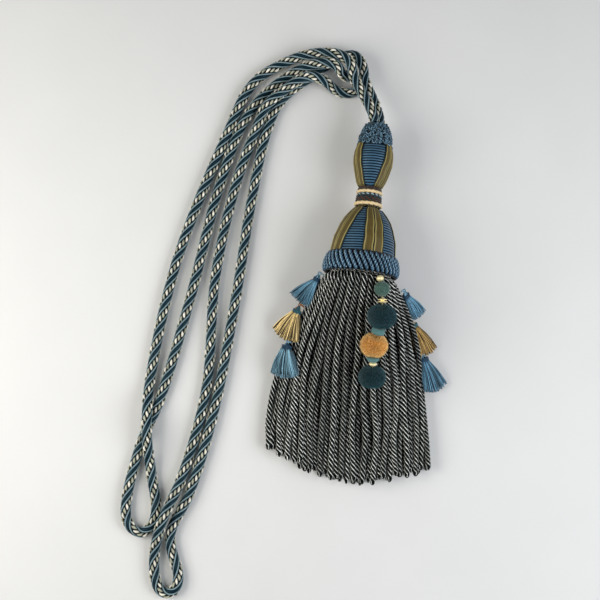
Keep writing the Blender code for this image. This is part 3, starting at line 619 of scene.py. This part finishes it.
# ---------------------------------------------------------------- head
class TIEBACK_OT_crown(Operator):
    """Knot the dome of blue loops around the rope's ends"""
    bl_idname = "tieback.crown"
    bl_label = "Crown"

    # (part of the way up, radius)
    DOME = ((0.0, 11.6), (0.12, 12.3), (0.34, 12.2), (0.56, 11.4), (0.78, 10.0), (1.0, 8.0),
            (1.06, 5.6))
    KNOTS = 210
    KNOT_TURN = 137.5               # degrees from one knot to the next, as seeds lie in a head
    HANGING = 14

    def execute(self, context):
        wanted = context.scene.tieback_head
        low, high = CROWN
        loops = Yarn()
        # a dark dome under the knots, its tone and outer set low, painted as the shade between them
        part = np.linspace(0.02, 1.04, 14)[:, None]
        under = around(table(self.DOME, part) - 1.6, -whole_turn(48), low + (high - low) * part)
        loops.sweep(under, np.linspace(0.0, high - low, 14), tone=0.0, outer=0.35)
        rng = random.Random(17)
        for k in range(self.KNOTS):
            middle = self.KNOT_TURN * k + rng.uniform(-5, 5)
            self.knot(loops, middle, 0.02 + ((k + 0.5) / self.KNOTS) ** 1.1, rng)
        for k in range(self.HANGING):
            self.hanging(loops, 25.7 * k + rng.uniform(-8, 8), rng)
        # dark base with painted shade in the hollows and a painted highlight along the crests
        look = spun_yarn("rayon_cord_blue_knots", wanted.loops, 0.6, 35.0, 0.12, 0.36, 0.2,
                         (0.2, 1.5), 0.02, wanted.loop_glint, (0.86, 0.98))
        loops.piece("crown_loops", [look], "blue_loops", ["crown"], HEAD)
        return {"FINISHED"}

    def knot(self, loops, middle, part, rng):
        """One small knot: three short turns of the cord rolled over one another."""
        low, high = CROWN
        centre = around(table(self.DOME, part), middle, low + (high - low) * part)
        out = unit(centre - UP * (low + 2.0 + 6.0 * part))
        side = unit(np.cross(UP, out))
        spin = rng.uniform(0, TURN)
        t = np.linspace(-1.0, 1.0, 8)[:, None]
        for k in range(3):
            ahead = circle(spin + k * 1.9 + rng.uniform(-0.3, 0.3), side, np.cross(out, side))
            beside = np.cross(out, ahead) * rng.uniform(-0.7, 0.7)
            half = rng.uniform(1.2, 1.9)
            line = (centre + ahead * t * half + beside * (1.0 - 0.5 * t * t)
                    + out * ((0.75 + 0.3 * k) * (1.0 - t * t) - 0.75 + rng.uniform(-0.2, 0.2)))
            loops.tube(line, rng.uniform(0.5, 0.66), 6, out, tone=rng.uniform(0.0, 1.0),
                       round_ends=True)

    @staticmethod
    def hanging(loops, middle, rng):
        """A small loop that hangs over the crown's lower edge."""
        t = np.linspace(0.0, math.pi, 11)
        wide = rng.uniform(1.0, 1.6)
        drop = rng.uniform(0.8, 2.6)
        line = around(12.6 + np.sin(t), middle - np.degrees(wide * np.cos(t) / 13.2),
                      CROWN[0] + 1.6 - drop * np.sin(t))
        loops.tube(line, 0.55, 6, unit(line * LEVEL), tone=rng.uniform(0.2, 1.0))


class TIEBACK_OT_mould(Operator):
    """Wind the bulb, waist and bell with blue cord"""
    bl_idname = "tieback.mould"
    bl_label = "Wound mould"

    DEPTH = 0.6         # of the groove between two turns

    def execute(self, context):
        wanted = context.scene.tieback_head
        pitch = wanted.wind_pitch / MM
        shade = np.random.default_rng(3).uniform(0.2, 0.8, 80)
        wound = Yarn()
        degrees = whole_turn(96)
        for low, high in ((BULB[-1][0], BULB[0][0]), (MOULD[-1][0], BELL[0][0])):
            along = np.arange(low, high, pitch / 8)
            at = along[:, None]
            turn = at / pitch + degrees / 360.0
            crest = np.sqrt(np.maximum(0.0, 1.0 - (2.0 * (turn - np.floor(turn)) - 1.0) ** 2))
            rings = around(table(MOULD, at) - self.DEPTH * (1.0 - crest), -degrees, at)
            # the grooves between turns are painted darker through outer, as painted shade
            wound.sweep(rings, along, shade[(at / pitch).astype(int) % 80], outer=crest ** 2)
        along = np.array([WAIST[1][0] - 2.0, WAIST[0][0] + 2.0])
        wound.sweep(around(6.4, -degrees[::4], along[:, None]), along, tone=0.2)
        look = spun_yarn("wound_rayon_cord", wanted.winding, 0.5, 80.0, 0.06, 0.4, 0.15,
                         (0.75, 1.25), 0.03)
        wound.piece("mould_winding", [look], "blue_winding", ["mould"], HEAD)
        return {"FINISHED"}


class TIEBACK_OT_ribbons(Operator):
    """Lay the five pairs of ribbon from the crown to the collar"""
    bl_idname = "tieback.ribbons"
    bl_label = "Ribbons"

    def execute(self, context):
        wanted = context.scene.tieback_head
        looks = [
            woven_ribbon("viscose_ribbon_olive", wanted.ribbon, wanted.ribbon_edge),
            spun_yarn("couching_thread_and_shadow_dark", wanted.dark, 0.5, 30.0, 0.05, 0.5, 0.05, (0.4, 1.0)),
        ]
        along = np.concatenate([np.arange(101.2, 69.0, -1.0), np.arange(69.0, 50.0, -0.5),
                                np.arange(50.0, 14.5, -1.0)])
        radius, half = table(MOULD[:-1], along), table(RIBBON_HALF, along)
        for k, angles in enumerate(RIBBONS):
            middle = table(tuple(zip(RIBBON_TURNS, angles)), along)
            pair = Yarn()
            for side in (-0.5, 0.5):
                wave = 0.15 * np.sin(along * 0.5 + k * 2.1 + side)
                self.ribbon(pair, *(row[:, None] for row in (along, radius, half, middle)),
                            (side * half + wave)[:, None])
            # dark thread laid beside each ribbon, and between the two of a pair; its darkness also
            # paints the shadow in the gap at each ribbon's edge
            for side in (-1.0, 0.0, 1.0):
                degrees = middle + np.degrees(side * (half + 0.1) / (radius + 0.5))
                line = around(radius + 0.3, degrees, along)
                pair.tube(line, 0.45, 6, unit(line * LEVEL), look=1)
            pair.piece(f"ribbon_pair_{k + 1}", looks, "gold_ribbon", [f"ribbons_{k + 1}"], HEAD)
        return {"FINISHED"}

    @staticmethod
    def ribbon(pair, along, radius, half, middle, shift):
        """One ribbon: a shallow crowned strip with a corded selvedge along each edge."""
        rim = RIBBON_RIM + tuple((-row[0], *row[1:]) for row in reversed(RIBBON_RIM))
        across, height, tone, outer = np.array(rim).T
        degrees = middle + np.degrees((shift + across * (half * 0.5 - 0.45)) / (radius + 0.8))
        rings = np.concatenate([around(radius + height, degrees, along),
                                around(radius + 0.05, degrees[:, ::-1], along)], axis=1)
        # the underside's outer is 0, so it is painted darkest, as painted shade
        pair.sweep(rings, reach(rings[:, 5]), np.concatenate([tone, tone]),
                   outer=np.concatenate([outer, 0.0 * outer]))


class TIEBACK_OT_waist(Operator):
    """Bind the waist with its rings and the dark band"""
    bl_idname = "tieback.waist"
    bl_label = "Waist rings"

    def execute(self, context):
        wanted = context.scene.tieback_head
        cream = spun_yarn("rayon_cord_cream", wanted.cream, 0.6, 24.0, 0.1, 0.4, 0.3, (0.9, 1.1), 0.3)
        dark = spun_yarn("rayon_cord_dark", wanted.dark, 0.6, 30.0, 0.1, 0.38, 0.1, (0.5, 1.5), 0.1)
        umber = spun_yarn("rayon_cord_umber", linear("#4d3020"), 0.6, 30.0, 0.1, 0.45, 0.2, hollow_shade=0.1)
        pale = spun_yarn("rayon_cord_pale_blue", linear("#a9c4cf"), 0.6, 30.0, 0.1, 0.4, 0.2,
                         hollow_shade=0.02)
        # each cord: its place along the axis, radius, thickness and the looks of its two plies
        for node, slot, looks, cords in (
                ("ring_olive", "dark_band", (dark, umber),
                 ((66.9, 8.3, 0.7, 0, 1), (65.8, 8.7, 0.7, 1, 0))),
                ("ring_cream_up", "cream_cord", (cream,), ((63.8, 8.85, 1.35, 0, 0),)),
                ("band_dark", "dark_band", (dark, umber, pale),
                 ((61.6, 9.0, 0.72, 0, 2), (60.2, 9.1, 0.85, 0, 0), (58.6, 9.2, 0.85, 0, 1),
                  (57.0, 9.3, 0.85, 1, 0))),
                ("ring_cream_low", "cream_cord", (cream,), ((54.4, 9.6, 1.45, 0, 0),))):
            bound = Yarn()
            for cord in cords:
                self.cord(bound, *cord)
            bound.piece(f"waist_{node}", looks, slot, [node], HEAD)
        return {"FINISHED"}

    @staticmethod
    def cord(bound, along, radius, size, *plies):
        """A two-ply cord, wound once around the waist."""
        count = 96
        angle = TURN * np.arange(7) / 7
        girth = TURN * radius
        lay = round(girth / (size * 5.0))
        out = around(1.0, -whole_turn(count), 0.0)
        for part, look in zip((0.0, 0.5), plies):
            turn = TURN * (lay * np.arange(count) / count + part)
            ply = around(radius, -whole_turn(count), along) + circle(turn, out, UP) * size * 0.22
            # outer is 1 on each ply's outward side and 0 on its inward side, which is painted darker as
            # painted shade
            bound.sweep(ply[:, None] + size * 0.82 * circle(angle, out[:, None], UP),
                        girth * np.arange(count) / count, 0.5, look, 0.5 + 0.5 * np.cos(angle), True)


class TIEBACK_OT_collar(Operator):
    """Set the slanted twisted cords of the collar around the mould's foot"""
    bl_idname = "tieback.collar"
    bl_label = "Collar"

    def execute(self, context):
        wanted = context.scene.tieback_head
        cords = Yarn()
        # a hidden band behind the cords, painted darkest as the shade seen between them
        degrees = whole_turn(84)[::-1]
        along, radius = np.array(((0.3, 24.9), (0.3, 27.4), (8.0, 27.6), (15.2, 26.0), (15.2, 24.9))).T
        cords.sweep(around(radius, -degrees[:, None], along), degrees[::-1], 0.0, outer=0.0, closed=True)
        rng = random.Random(4)
        t = np.linspace(0.0, 1.0, 27)
        along = 0.5 + (COLLAR_H - 0.9) * t
        radius = table(COLLAR_ROWS, along) - 1.75 - 1.4 * np.abs(2.0 * t - 1.0) ** 6
        slant = np.degrees(along * math.tan(math.radians(COLLAR_SLANT)) / 28.5)
        for k in range(COLLAR_CORDS):
            line = around(radius, 360.0 * k / COLLAR_CORDS - slant, along)
            away = unit(line * LEVEL)
            side = np.cross(unit(np.gradient(line, axis=0)), away)
            tone = 0.5 + rng.uniform(-0.3, 0.3)
            for part in (0.0, 0.5):
                turned = circle(TURN * (reach(line) / 5.2 + part + 0.13 * k), away, side)
                cords.tube(line + turned * 0.68, 0.98, 6, turned, away, tone=tone, round_ends=True)
        # the glint is a painted highlight on the side of each ply turned outwards, and the side turned
        # in is painted as shade
        look = spun_yarn("rayon_cord_blue_collar", wanted.collar, 0.5, 25.0, 0.1, 0.36, 0.2,
                         (0.6, 1.3), 0.02, wanted.collar_glint, (0.82, 0.98), (2.2, 0.1, 1.9))
        cords.piece("collar_cords", [look], "blue_cord", ["collar"], HEAD)
        return {"FINISHED"}


# ---------------------------------------------------------------- skirt
def hem_at(x):
    """How far down the hem reaches at one place across it."""
    side = 0 if x < HEM_MID[0] else 1
    far = abs(SKIRT_SPREAD[side] - HEM_MID[0])
    return HEM_MID[1] + HEM_RISE[side] * (abs(x - HEM_MID[0]) / far) ** 1.6


def skirt_rows():
    """One (layer, start radius, start angle, place across, hem height, droop, size) for a cord."""
    # the kinds that take turns in the front and under layers: start radius, hem height and how
    # much lower it is at the skirt's edges, droop and how much more it is there, size
    kinds = (((21.7, 13.9, 6.2, 1.6, 1.5, 1.0), (17.6, 12.6, 6.2, 2.0, 1.0, 0.97)),
             ((21.7, 1.25, 0.0, 2.7, 1.4, 1.05), (17.2, 1.25, 0.0, 1.5, 0.5, 1.0)))
    cords = []
    for layer, count in enumerate((31, 25)):
        for i in range(count):
            across = i / (count - 1)
            turn = -78.0 + 156.0 * across
            edge = abs(2 * across - 1) ** 4
            start_r, hem, lower, droop, more, size = kinds[layer][i % 2]
            cords.append((layer, start_r, 180.0 - turn if layer else turn, across,
                          hem - lower * edge, droop + more * edge, size))
    for i in range(5):
        for j, up in enumerate((6.5, 0.0, -6.5)):
            side = (i - 2) * 5.0
            cords.append((2, math.hypot(side, up), math.degrees(math.atan2(side, up)),
                          0.23 + 0.54 * (3 * i + j) / 14, 7.2, 2.2, 0.95))
    return cords


def bullion_line(start_r, turn, across, hem_z, droop, sway):
    """Middle line of one bullion cord, from inside the collar to its looped end."""
    end_x = SKIRT_SPREAD[0] + (SKIRT_SPREAD[1] - SKIRT_SPREAD[0]) * across
    end_y = hem_at(end_x) + sway
    first, second, begin = (HEAD @ Vector(around(radius, turn, along)) for radius, along in
                            ((start_r, 2.5), (start_r, -0.9), (start_r * SKIRT_FLARE, -4.5)))
    t = np.linspace(0.0, 1.0, 14)
    ease = 1.0 - (1.0 - t) ** (2.0 + 1.1 * across)
    hung = np.stack([begin.x + (end_x - begin.x) * ease, begin.y + (end_y - begin.y) * t,
                     hem_z + (begin.z - hem_z) * (1.0 - t) ** droop], axis=1)
    return np.concatenate([[first, second], hung])


class TIEBACK_OT_skirt(Operator):
    """Hang the doubled bullion cords, each twisted on itself with a looped end"""
    bl_idname = "tieback.skirt"
    bl_label = "Bullion skirt"

    STEPS = (1.4, 2.0, 2.8)         # between two stations of a front, an under and an inner cord

    def execute(self, context):
        wanted = context.scene.tieback_skirt
        half = wanted.cord / MM / 2
        pitch = wanted.pitch / MM
        # pale threads on each ply's crest, painted white as a painted highlight, on a dark yarn
        look = spun_yarn("twisted_rayon_bullion", wanted.yarn, 0.5, 18.0, 0.1, 0.34, 0.0,
                         (0.7, 1.45), 0.02, wanted.glint, (0.9, 0.98), (2.0, -0.4, 2.2), 0.2)
        rng = random.Random(21)
        layers = {name: Yarn() for name in ("front", "under", "inner")}
        for k, (layer, start_r, turn, across, hem_z, droop, size) in enumerate(skirt_rows()):
            sway = 2.2 * math.sin(2.4 * k) + rng.uniform(-0.8, 0.8)
            line = bullion_line(start_r, turn, across, hem_z, droop, sway)
            line = self.hanging(line, self.STEPS[layer], half * size, rng)
            self.cord([*layers.values()][layer], line, half * size, pitch * rng.uniform(0.88, 1.12), rng)
        for name, cords in layers.items():
            cords.piece(f"skirt_{name}_cords", [look], "bullion", ["skirt"] if name == "front" else [])
        return {"FINISHED"}

    @staticmethod
    def hanging(line, step, half, rng):
        """The cord's middle line with the small waves that it keeps from the twisting."""
        line = curve_through(line, step)
        far = reach(line)
        fade = np.clip((far - 12.0) / 35.0, 0.0, 1.0)
        wave = rng.uniform(0, TURN)
        line[:, 0] += fade * np.sin(far / rng.uniform(11, 19) + wave) * rng.uniform(0.4, 1.3)
        line[:, 2] += fade * np.sin(far / rng.uniform(12, 20) + 2 * wave) * rng.uniform(0.2, 0.7)
        line[:, 2] = np.maximum(line[:, 2], half * 0.96)
        return line

    @staticmethod
    def cord(layer, line, half, pitch, rng):
        """A doubled two-ply yarn, twisted on itself, that turns round at its looped end."""
        radius = half * 0.52 * np.ones(len(line))
        radius[-3:] *= (1.0, 1.05, 1.15)
        phase = rng.uniform(0, 1)
        tone = 0.5 + rng.uniform(-0.5, 0.5)
        # a ply is looser and tighter by turns, so no two crests are quite alike
        swell = [rng.uniform(0.43, 0.56) for _ in range(len(line) // 3 + 2)]
        size = half * np.interp(np.arange(len(line)) / 3, np.arange(len(swell)), swell)
        ahead = unit(line[-1] - line[-2])
        bend = np.linspace(0.0, math.pi, 6)[1:-1]
        for part, tip_reach in ((0.0, 1.1), (0.25, 0.75)):
            down, away_down = helix(line, radius, -pitch, phase + part)
            up, away_up = helix(line, radius, -pitch, phase + part + 0.5)
            centre, out = (down[-1] + up[-1]) / 2, (down[-1] - up[-1]) / 2
            tip = circle(bend, out, ahead * half * tip_reach)
            layer.tube(np.concatenate([down, centre + tip, up[::-1]]),
                       np.concatenate([size, np.full(len(tip), size[-1]), size[::-1]]), 5,
                       np.concatenate([away_down, unit(tip), away_up[::-1]]), tone=tone)


# ---------------------------------------------------------------- small tassels
class TIEBACK_OT_small_tassels(Operator):
    """Tie the six small thread tassels at the skirt's sides"""
    bl_idname = "tieback.small_tassels"
    bl_label = "Small tassels"

    def execute(self, context):
        wanted = context.scene.tieback_trim
        # stranded embroidery rayon: glossy and loose, so each thread catches its own light, painted as a
        # wide spread of tone from thread to thread
        yarns = {name: spun_yarn(f"stranded_rayon_{name}", shade, 0.3, 10.0, 0.04, 0.4, 0.3,
                                 (0.25, 1.85), 0.1)
                 for name, shade in (("blue", wanted.blue), ("light", wanted.light_blue),
                                     ("gold", wanted.gold), ("brown", wanted.brown))}
        for name, code in (("navy", "#1f3d56"), ("sky", "#9bcbe4"), ("teal", "#2f5f6c"),
                           ("rust", "#bd7f4e"), ("straw", "#e3c98d")):
            yarns[name] = spun_yarn(f"binding_rayon_{name}", linear(code), 0.4, 60.0, 0.05, 0.42, 0.2)
        for k, (name, used, root, top, neck, wide, tips) in enumerate(SMALL_TASSELS):
            made = Yarn()
            self.tassel(made, *np.array([root, top, neck]), wide / 2, tips, wanted.threads, k)
            slot = "gold_thread" if used[0] in ("gold", "brown") else "blue_thread"
            made.piece(f"{name}_threads", [yarns[yarn] for yarn in used], slot, [name])
        return {"FINISHED"}

    @staticmethod
    def tassel(made, root, top, neck, half, tips, count, seed):
        """Loop, bound head and a fan of cut threads."""
        rng = random.Random(70 + seed)
        run = unit(neck - top)
        edge = curve_through(tips, 0.5)
        if np.cross(run, edge[-1] - edge[0])[2] < 0.0:
            edge = edge[::-1]
        side = unit(edge[-1] - edge[0])
        side = unit(side - run * (side @ run))
        thick = unit(np.cross(run, side))
        # hanging thread, doubled, from the skirt to the head
        for shift in (-0.5, 0.5):
            hang = curve_through([root, top + side * shift * 2.4, top + run * 2.4 + side * shift], 0.5)
            for part in (0.0, 0.5):
                ply, away = helix(hang, 0.3, 2.2, part)
                made.tube(ply, 0.36, 5, away, look=2)
        # the folded tops of the threads, some of them light, over the dark binding
        down = np.linalg.norm(neck - top)
        t = np.linspace(0.0, 1.0, 8)[:, None]
        bulge = np.sin(np.clip(t * 1.25, 0, 1) * math.pi / 2)
        for spread in circle(TURN * np.arange(18) / 18, side * half * 0.85, thick * 1.45):
            line = top + run * (1.2 + (down - 0.6) * t) + spread * bulge
            made.tube(line, 0.52, 5, spread, tone=0.5 + rng.uniform(-0.4, 0.4),
                      look=rng.choice((0, 1, 1, 2)), round_ends=True)
        # binding: five turns of thread around the neck
        hoop = circle(TURN * np.arange(24) / 24, side * (half + 0.15), thick * 2.1)
        out = unit(hoop)[:, None]
        for k in range(5):
            line = neck - run * (0.2 + 0.55 * k) + hoop
            made.sweep(line[:, None] + 0.38 * circle(TURN * np.arange(5) / 5, out, -run),
                       np.arange(24) * 0.6, 0.5 + rng.uniform(-0.3, 0.3), 1, closed=True)
        # the fan's hidden threads, as one filled wedge painted dark as the shade inside the fan, and
        # then the threads that show
        places = np.linspace(0.04, 0.96, 9)
        ends = edge[(places * (len(edge) - 1)).astype(int)]
        starts = neck + np.outer(places - 0.5, side * half * 1.7)
        rows = starts + (ends - starts) * np.linspace(0.0, 0.9, 7)[:, None, None]
        made.sweep(np.concatenate([rows + thick * 1.1, rows[:, ::-1] - thick * 1.1], axis=1),
                   np.linspace(0.0, 14.0, 7), 0.0, outer=0.5)
        for k in range(count):
            place = (k + rng.random()) / count
            layer = rng.uniform(-1.0, 1.0)
            # the threads lie in locks, with dark furrows between them
            lock = place + 0.022 * math.sin(TURN * (8.5 * place + 0.1 * seed))
            tip = edge[min(len(edge) - 1, int(max(0.0, lock) * len(edge)))]
            start = neck - run * 0.3 + side * (place - 0.5) * half * 1.9 + thick * layer * 1.5
            end = tip + thick * layer * 1.6 + unit(tip - neck) * rng.uniform(-1.6, 0.9)
            middle = ((start + end) / 2 + thick * layer * 1.4
                      + side * ((place - 0.5) * 0.8 + rng.uniform(-0.4, 0.4)))
            made.tube(curve_through([start, middle, end], 3.0), rng.uniform(0.26, 0.4), 3, thick,
                      tone=min(1.0, max(0.0, rng.gauss(0.55, 0.28))))


# ---------------------------------------------------------------- beads and pompoms
def lathed(made, centre, axis, profile, sides, tone=0.5, outer=1.0):
    """Turn (distance along, radius) pairs about an axis through a centre."""
    side = unit(np.cross(axis, UP))
    spokes = circle(TURN * np.arange(sides) / sides, side, np.cross(axis, side))
    along, radius = np.array(profile).T
    made.sweep(centre + axis * along[:, None, None] + radius[:, None, None] * spokes, along, tone,
               outer=outer)


def round_profile(size, across, rows, power=1.0):
    """Profile of a ball or barrel with that length and diameter, flat at its holes."""
    turn = np.linspace(0.12, math.pi - 0.12, rows)
    return np.stack([-np.cos(turn) / math.cos(0.12) * size, np.sin(turn) ** power * across], 1) / 2


class TIEBACK_OT_pompoms(Operator):
    """String the beads and clipped pompoms down the skirt's front"""
    bl_idname = "tieback.pompoms"
    bl_label = "Beads and pompoms"

    # how many hairs, and their length
    WOOL = (5600, 2.0)
    VELVET = (1500, 0.7)
    HAIR = (0.2, 0.06)              # radius at a hair's foot and at its tip

    def execute(self, context):
        wanted = context.scene.tieback_trim
        looks = {
            # a pale diffuse share painted in as the light a bright room would give the metal
            "brass": brass_with_painted_light("stamped_brass_painted_light"),
            # clipped wool: dull, with the tuft ends painted lighter as the light they catch, and the
            # depth painted darker as shade
            "teal": clipped_wool("clipped_wool_teal", wanted.teal, "#26545d", 0.3),
            "peach": clipped_wool("clipped_wool_peach", wanted.peach, "#f7cf86", 0.2),
            # rayon velvet stretched over a ball: short nap whose tips are painted lighter, so it
            # brightens towards its rim as a painted sheen
            "velvet": clipped_wool("rayon_velvet_sage", wanted.sage, "#789f93", 0.6),
            "felt": clipped_wool("pressed_felt_sea_green", linear("#4d7777"), "#8fb5b2", 0.15),
        }
        centres = np.array([row[3] for row in BEADS])
        for k, (name, look, slot, _, size, across) in enumerate(BEADS):
            centre = centres[k]
            axis = unit(centres[min(k + 1, len(BEADS) - 1)] - centres[max(k - 1, 0)])
            made = Yarn()
            if name.startswith("pompom"):
                self.pompom(made, centre, axis, size, across, k)
            elif name == "velvet_ball":
                lathed(made, centre, axis, round_profile(size, across, 22, 0.9), 40, outer=0.2)
                self.nap(made, centre, axis, size, across, *self.VELVET, k)
            else:
                shape = BEAD_SHAPES.get(name, round_profile(size, across, 16))
                lathed(made, centre, axis, shape, 32, outer=0.1)
            made.piece(f"{name}_shown", [looks[look]], slot, [name])
        thread = Yarn()
        start = centres[0] + [-1.4, 2.0, -2.6]
        thread.tube(curve_through([start, *centres], 1.0), 0.45, 6)
        linen = spun_yarn("linen_thread", linear("#b7a46a"), 0.4, 45.0, 0.05, 0.6, 0.1)
        thread.piece("pompom_thread", [linen], "gold_thread")
        return {"FINISHED"}

    @staticmethod
    def dented(way, axis):
        """How far a pompom reaches in each direction: less where it is tied to its neighbours."""
        reach_out = np.ones(len(way))
        for end, depth in ((-1.0, 0.36), (1.0, 0.2)):
            tie = unit(axis * end + UP * 0.5)
            reach_out -= depth * np.exp(-(1.0 - way @ tie) / 0.06)
        return reach_out

    def nap(self, made, centre, axis, size, across, count, tall, seed, dented=False):
        """Short hairs that stand out of a ball."""
        rng = np.random.default_rng(90 + seed)
        way = unit(rng.normal(size=(count, 3)))
        lean = unit(way + 0.3 * rng.normal(size=(count, 3)))
        stretch = 1.0 + (size / across - 1.0) * (way @ axis) ** 2
        if dented:
            stretch *= self.dented(way, axis)
        foot = centre + way * (across / 2 * stretch * 0.94)[:, None]
        tip = foot + lean * (tall * rng.uniform(0.5, 1.15, count))[:, None]
        shade = np.clip(rng.normal(0.5, 0.25, count), 0, 1)
        for k in range(count):
            away = np.cross(way[k], [0.3, 0.2, 1.0])
            made.tube(np.array([foot[k], tip[k]]), self.HAIR, 3, away, tone=shade[k])
            made.outer[-1] = np.repeat([0.0, 1.0], 3)

    def pompom(self, made, centre, axis, size, across, seed):
        """Clipped ball: a lumpy core under a coat of cut tufts."""
        rng = np.random.default_rng(40 + seed)
        # the core shows between the tufts, and its low tone and outer paint it darker, as the shade in
        # the pile
        lathed(made, centre, axis, round_profile(size - 2.4, across - 2.4, 30), 56, 0.2, 0.0)
        core = made.points[-1] - centre
        lumps = unit(rng.normal(size=(24, 3)))
        way = unit(core)
        swell = np.max(np.exp(-8.0 * (1.0 - way @ lumps.T)), axis=1)
        far = np.linalg.norm(core, axis=1) * self.dented(way, axis) + 0.5 * swell
        made.points[-1] = centre + way * far[:, None]
        self.nap(made, centre, axis, size - 2.2, across - 2.2, *self.WOOL, seed, dented=True)


# ---------------------------------------------------------------- stage
class TIEBACK_OT_stage(Operator):
    """Set the table, the soft studio light and the camera above"""
    bl_idname = "tieback.stage"
    bl_label = "Table, light and camera"

    def execute(self, context):
        scene = context.scene
        side = 2.4
        mesh = bpy.data.meshes.new("table")
        corners = [(-side, -side, 0.0), (side, -side, 0.0), (side, side, 0.0), (-side, side, 0.0)]
        mesh.from_pydata(corners, [], [(0, 1, 2, 3)])
        mesh.materials.append(matte_table("matte_laminate_pale"))
        top = bpy.data.objects.new("table", mesh)
        scene.collection.objects.link(top)

        data = bpy.data.cameras.new("camera_above")
        data.lens = 57.69
        data.sensor_width = 36.0
        scene.camera = self.aimed(data, (-0.04638, -0.10429, 0.74589), (-0.04638, -0.0259, 0.0))
        # a wide window-like light from the left, a weaker one from the far side, and a low fill
        for name, place, size, power, tint in (
                ("key", (-0.55, -0.08, 0.44), (0.45, 0.45), 3.2, "#fffaf2"),
                ("far", (0.25, 1.1, 1.1), (0.9, 0.5), 0.1, "#f4f7ff"),
                ("fill", (0.62, -0.26, 0.6), (0.6, 0.6), 5.7, "#f8f9fd")):
            data = bpy.data.lights.new(name, "AREA")
            data.shape = "RECTANGLE"
            data.size, data.size_y = size
            data.energy = power
            data.color = linear(tint)
            self.aimed(data, place, (-0.05, -0.03, 0.0))
        world = bpy.data.worlds.new("pale_room")
        scene.world = world
        world.use_nodes = True
        back = world.node_tree.nodes["Background"]
        back.inputs["Color"].default_value = (*linear("#eceff2"), 1.0)
        back.inputs["Strength"].default_value = 0.3
        scene.view_settings.view_transform = "Standard"
        return {"FINISHED"}

    @staticmethod
    def aimed(data, place, aim):
        """A camera or light at a place, turned to what it looks at."""
        made = bpy.data.objects.new(data.name, data)
        made.location = place
        made.rotation_euler = (Vector(aim) - Vector(place)).to_track_quat("-Z", "Y").to_euler()
        bpy.context.scene.collection.objects.link(made)
        return made


class VIEW3D_PT_tieback(Panel):
    """Lists the pieces of the tieback and their settings"""
    bl_label = "Curtain tieback"
    bl_space_type = "VIEW_3D"
    bl_region_type = "UI"
    bl_category = "Tieback"

    def draw(self, context):
        layout = self.layout
        for group in SETTINGS:
            box = layout.box()
            settings = getattr(context.scene, group)
            for name in settings.bl_rna.properties.keys():
                if name not in ("rna_type", "name"):
                    box.prop(settings, name)
        for operator in PIECES:
            layout.operator(operator.bl_idname)


SETTINGS = {
    "tieback_rope": RopeSettings,
    "tieback_head": HeadSettings,
    "tieback_skirt": SkirtSettings,
    "tieback_trim": TrimSettings,
}
PIECES = (TIEBACK_OT_stage, TIEBACK_OT_rope, TIEBACK_OT_crown, TIEBACK_OT_mould, TIEBACK_OT_ribbons,
          TIEBACK_OT_waist, TIEBACK_OT_collar, TIEBACK_OT_skirt, TIEBACK_OT_small_tassels,
          TIEBACK_OT_pompoms)


def register():
    for item in (*SETTINGS.values(), *PIECES, VIEW3D_PT_tieback):
        bpy.utils.register_class(item)
    for name, group in SETTINGS.items():
        setattr(bpy.types.Scene, name, PointerProperty(type=group))


def unregister():
    for name in SETTINGS:
        delattr(bpy.types.Scene, name)
    for item in reversed((*SETTINGS.values(), *PIECES, VIEW3D_PT_tieback)):
        bpy.utils.unregister_class(item)


def main():
    register()
    bpy.ops.tieback.stage()
    bpy.ops.tieback.rope()
    bpy.ops.tieback.crown()
    bpy.ops.tieback.mould()
    bpy.ops.tieback.ribbons()
    bpy.ops.tieback.waist()
    bpy.ops.tieback.collar()
    bpy.ops.tieback.skirt()
    bpy.ops.tieback.small_tassels()
    bpy.ops.tieback.pompoms()


if __name__ == "__main__":
    main()
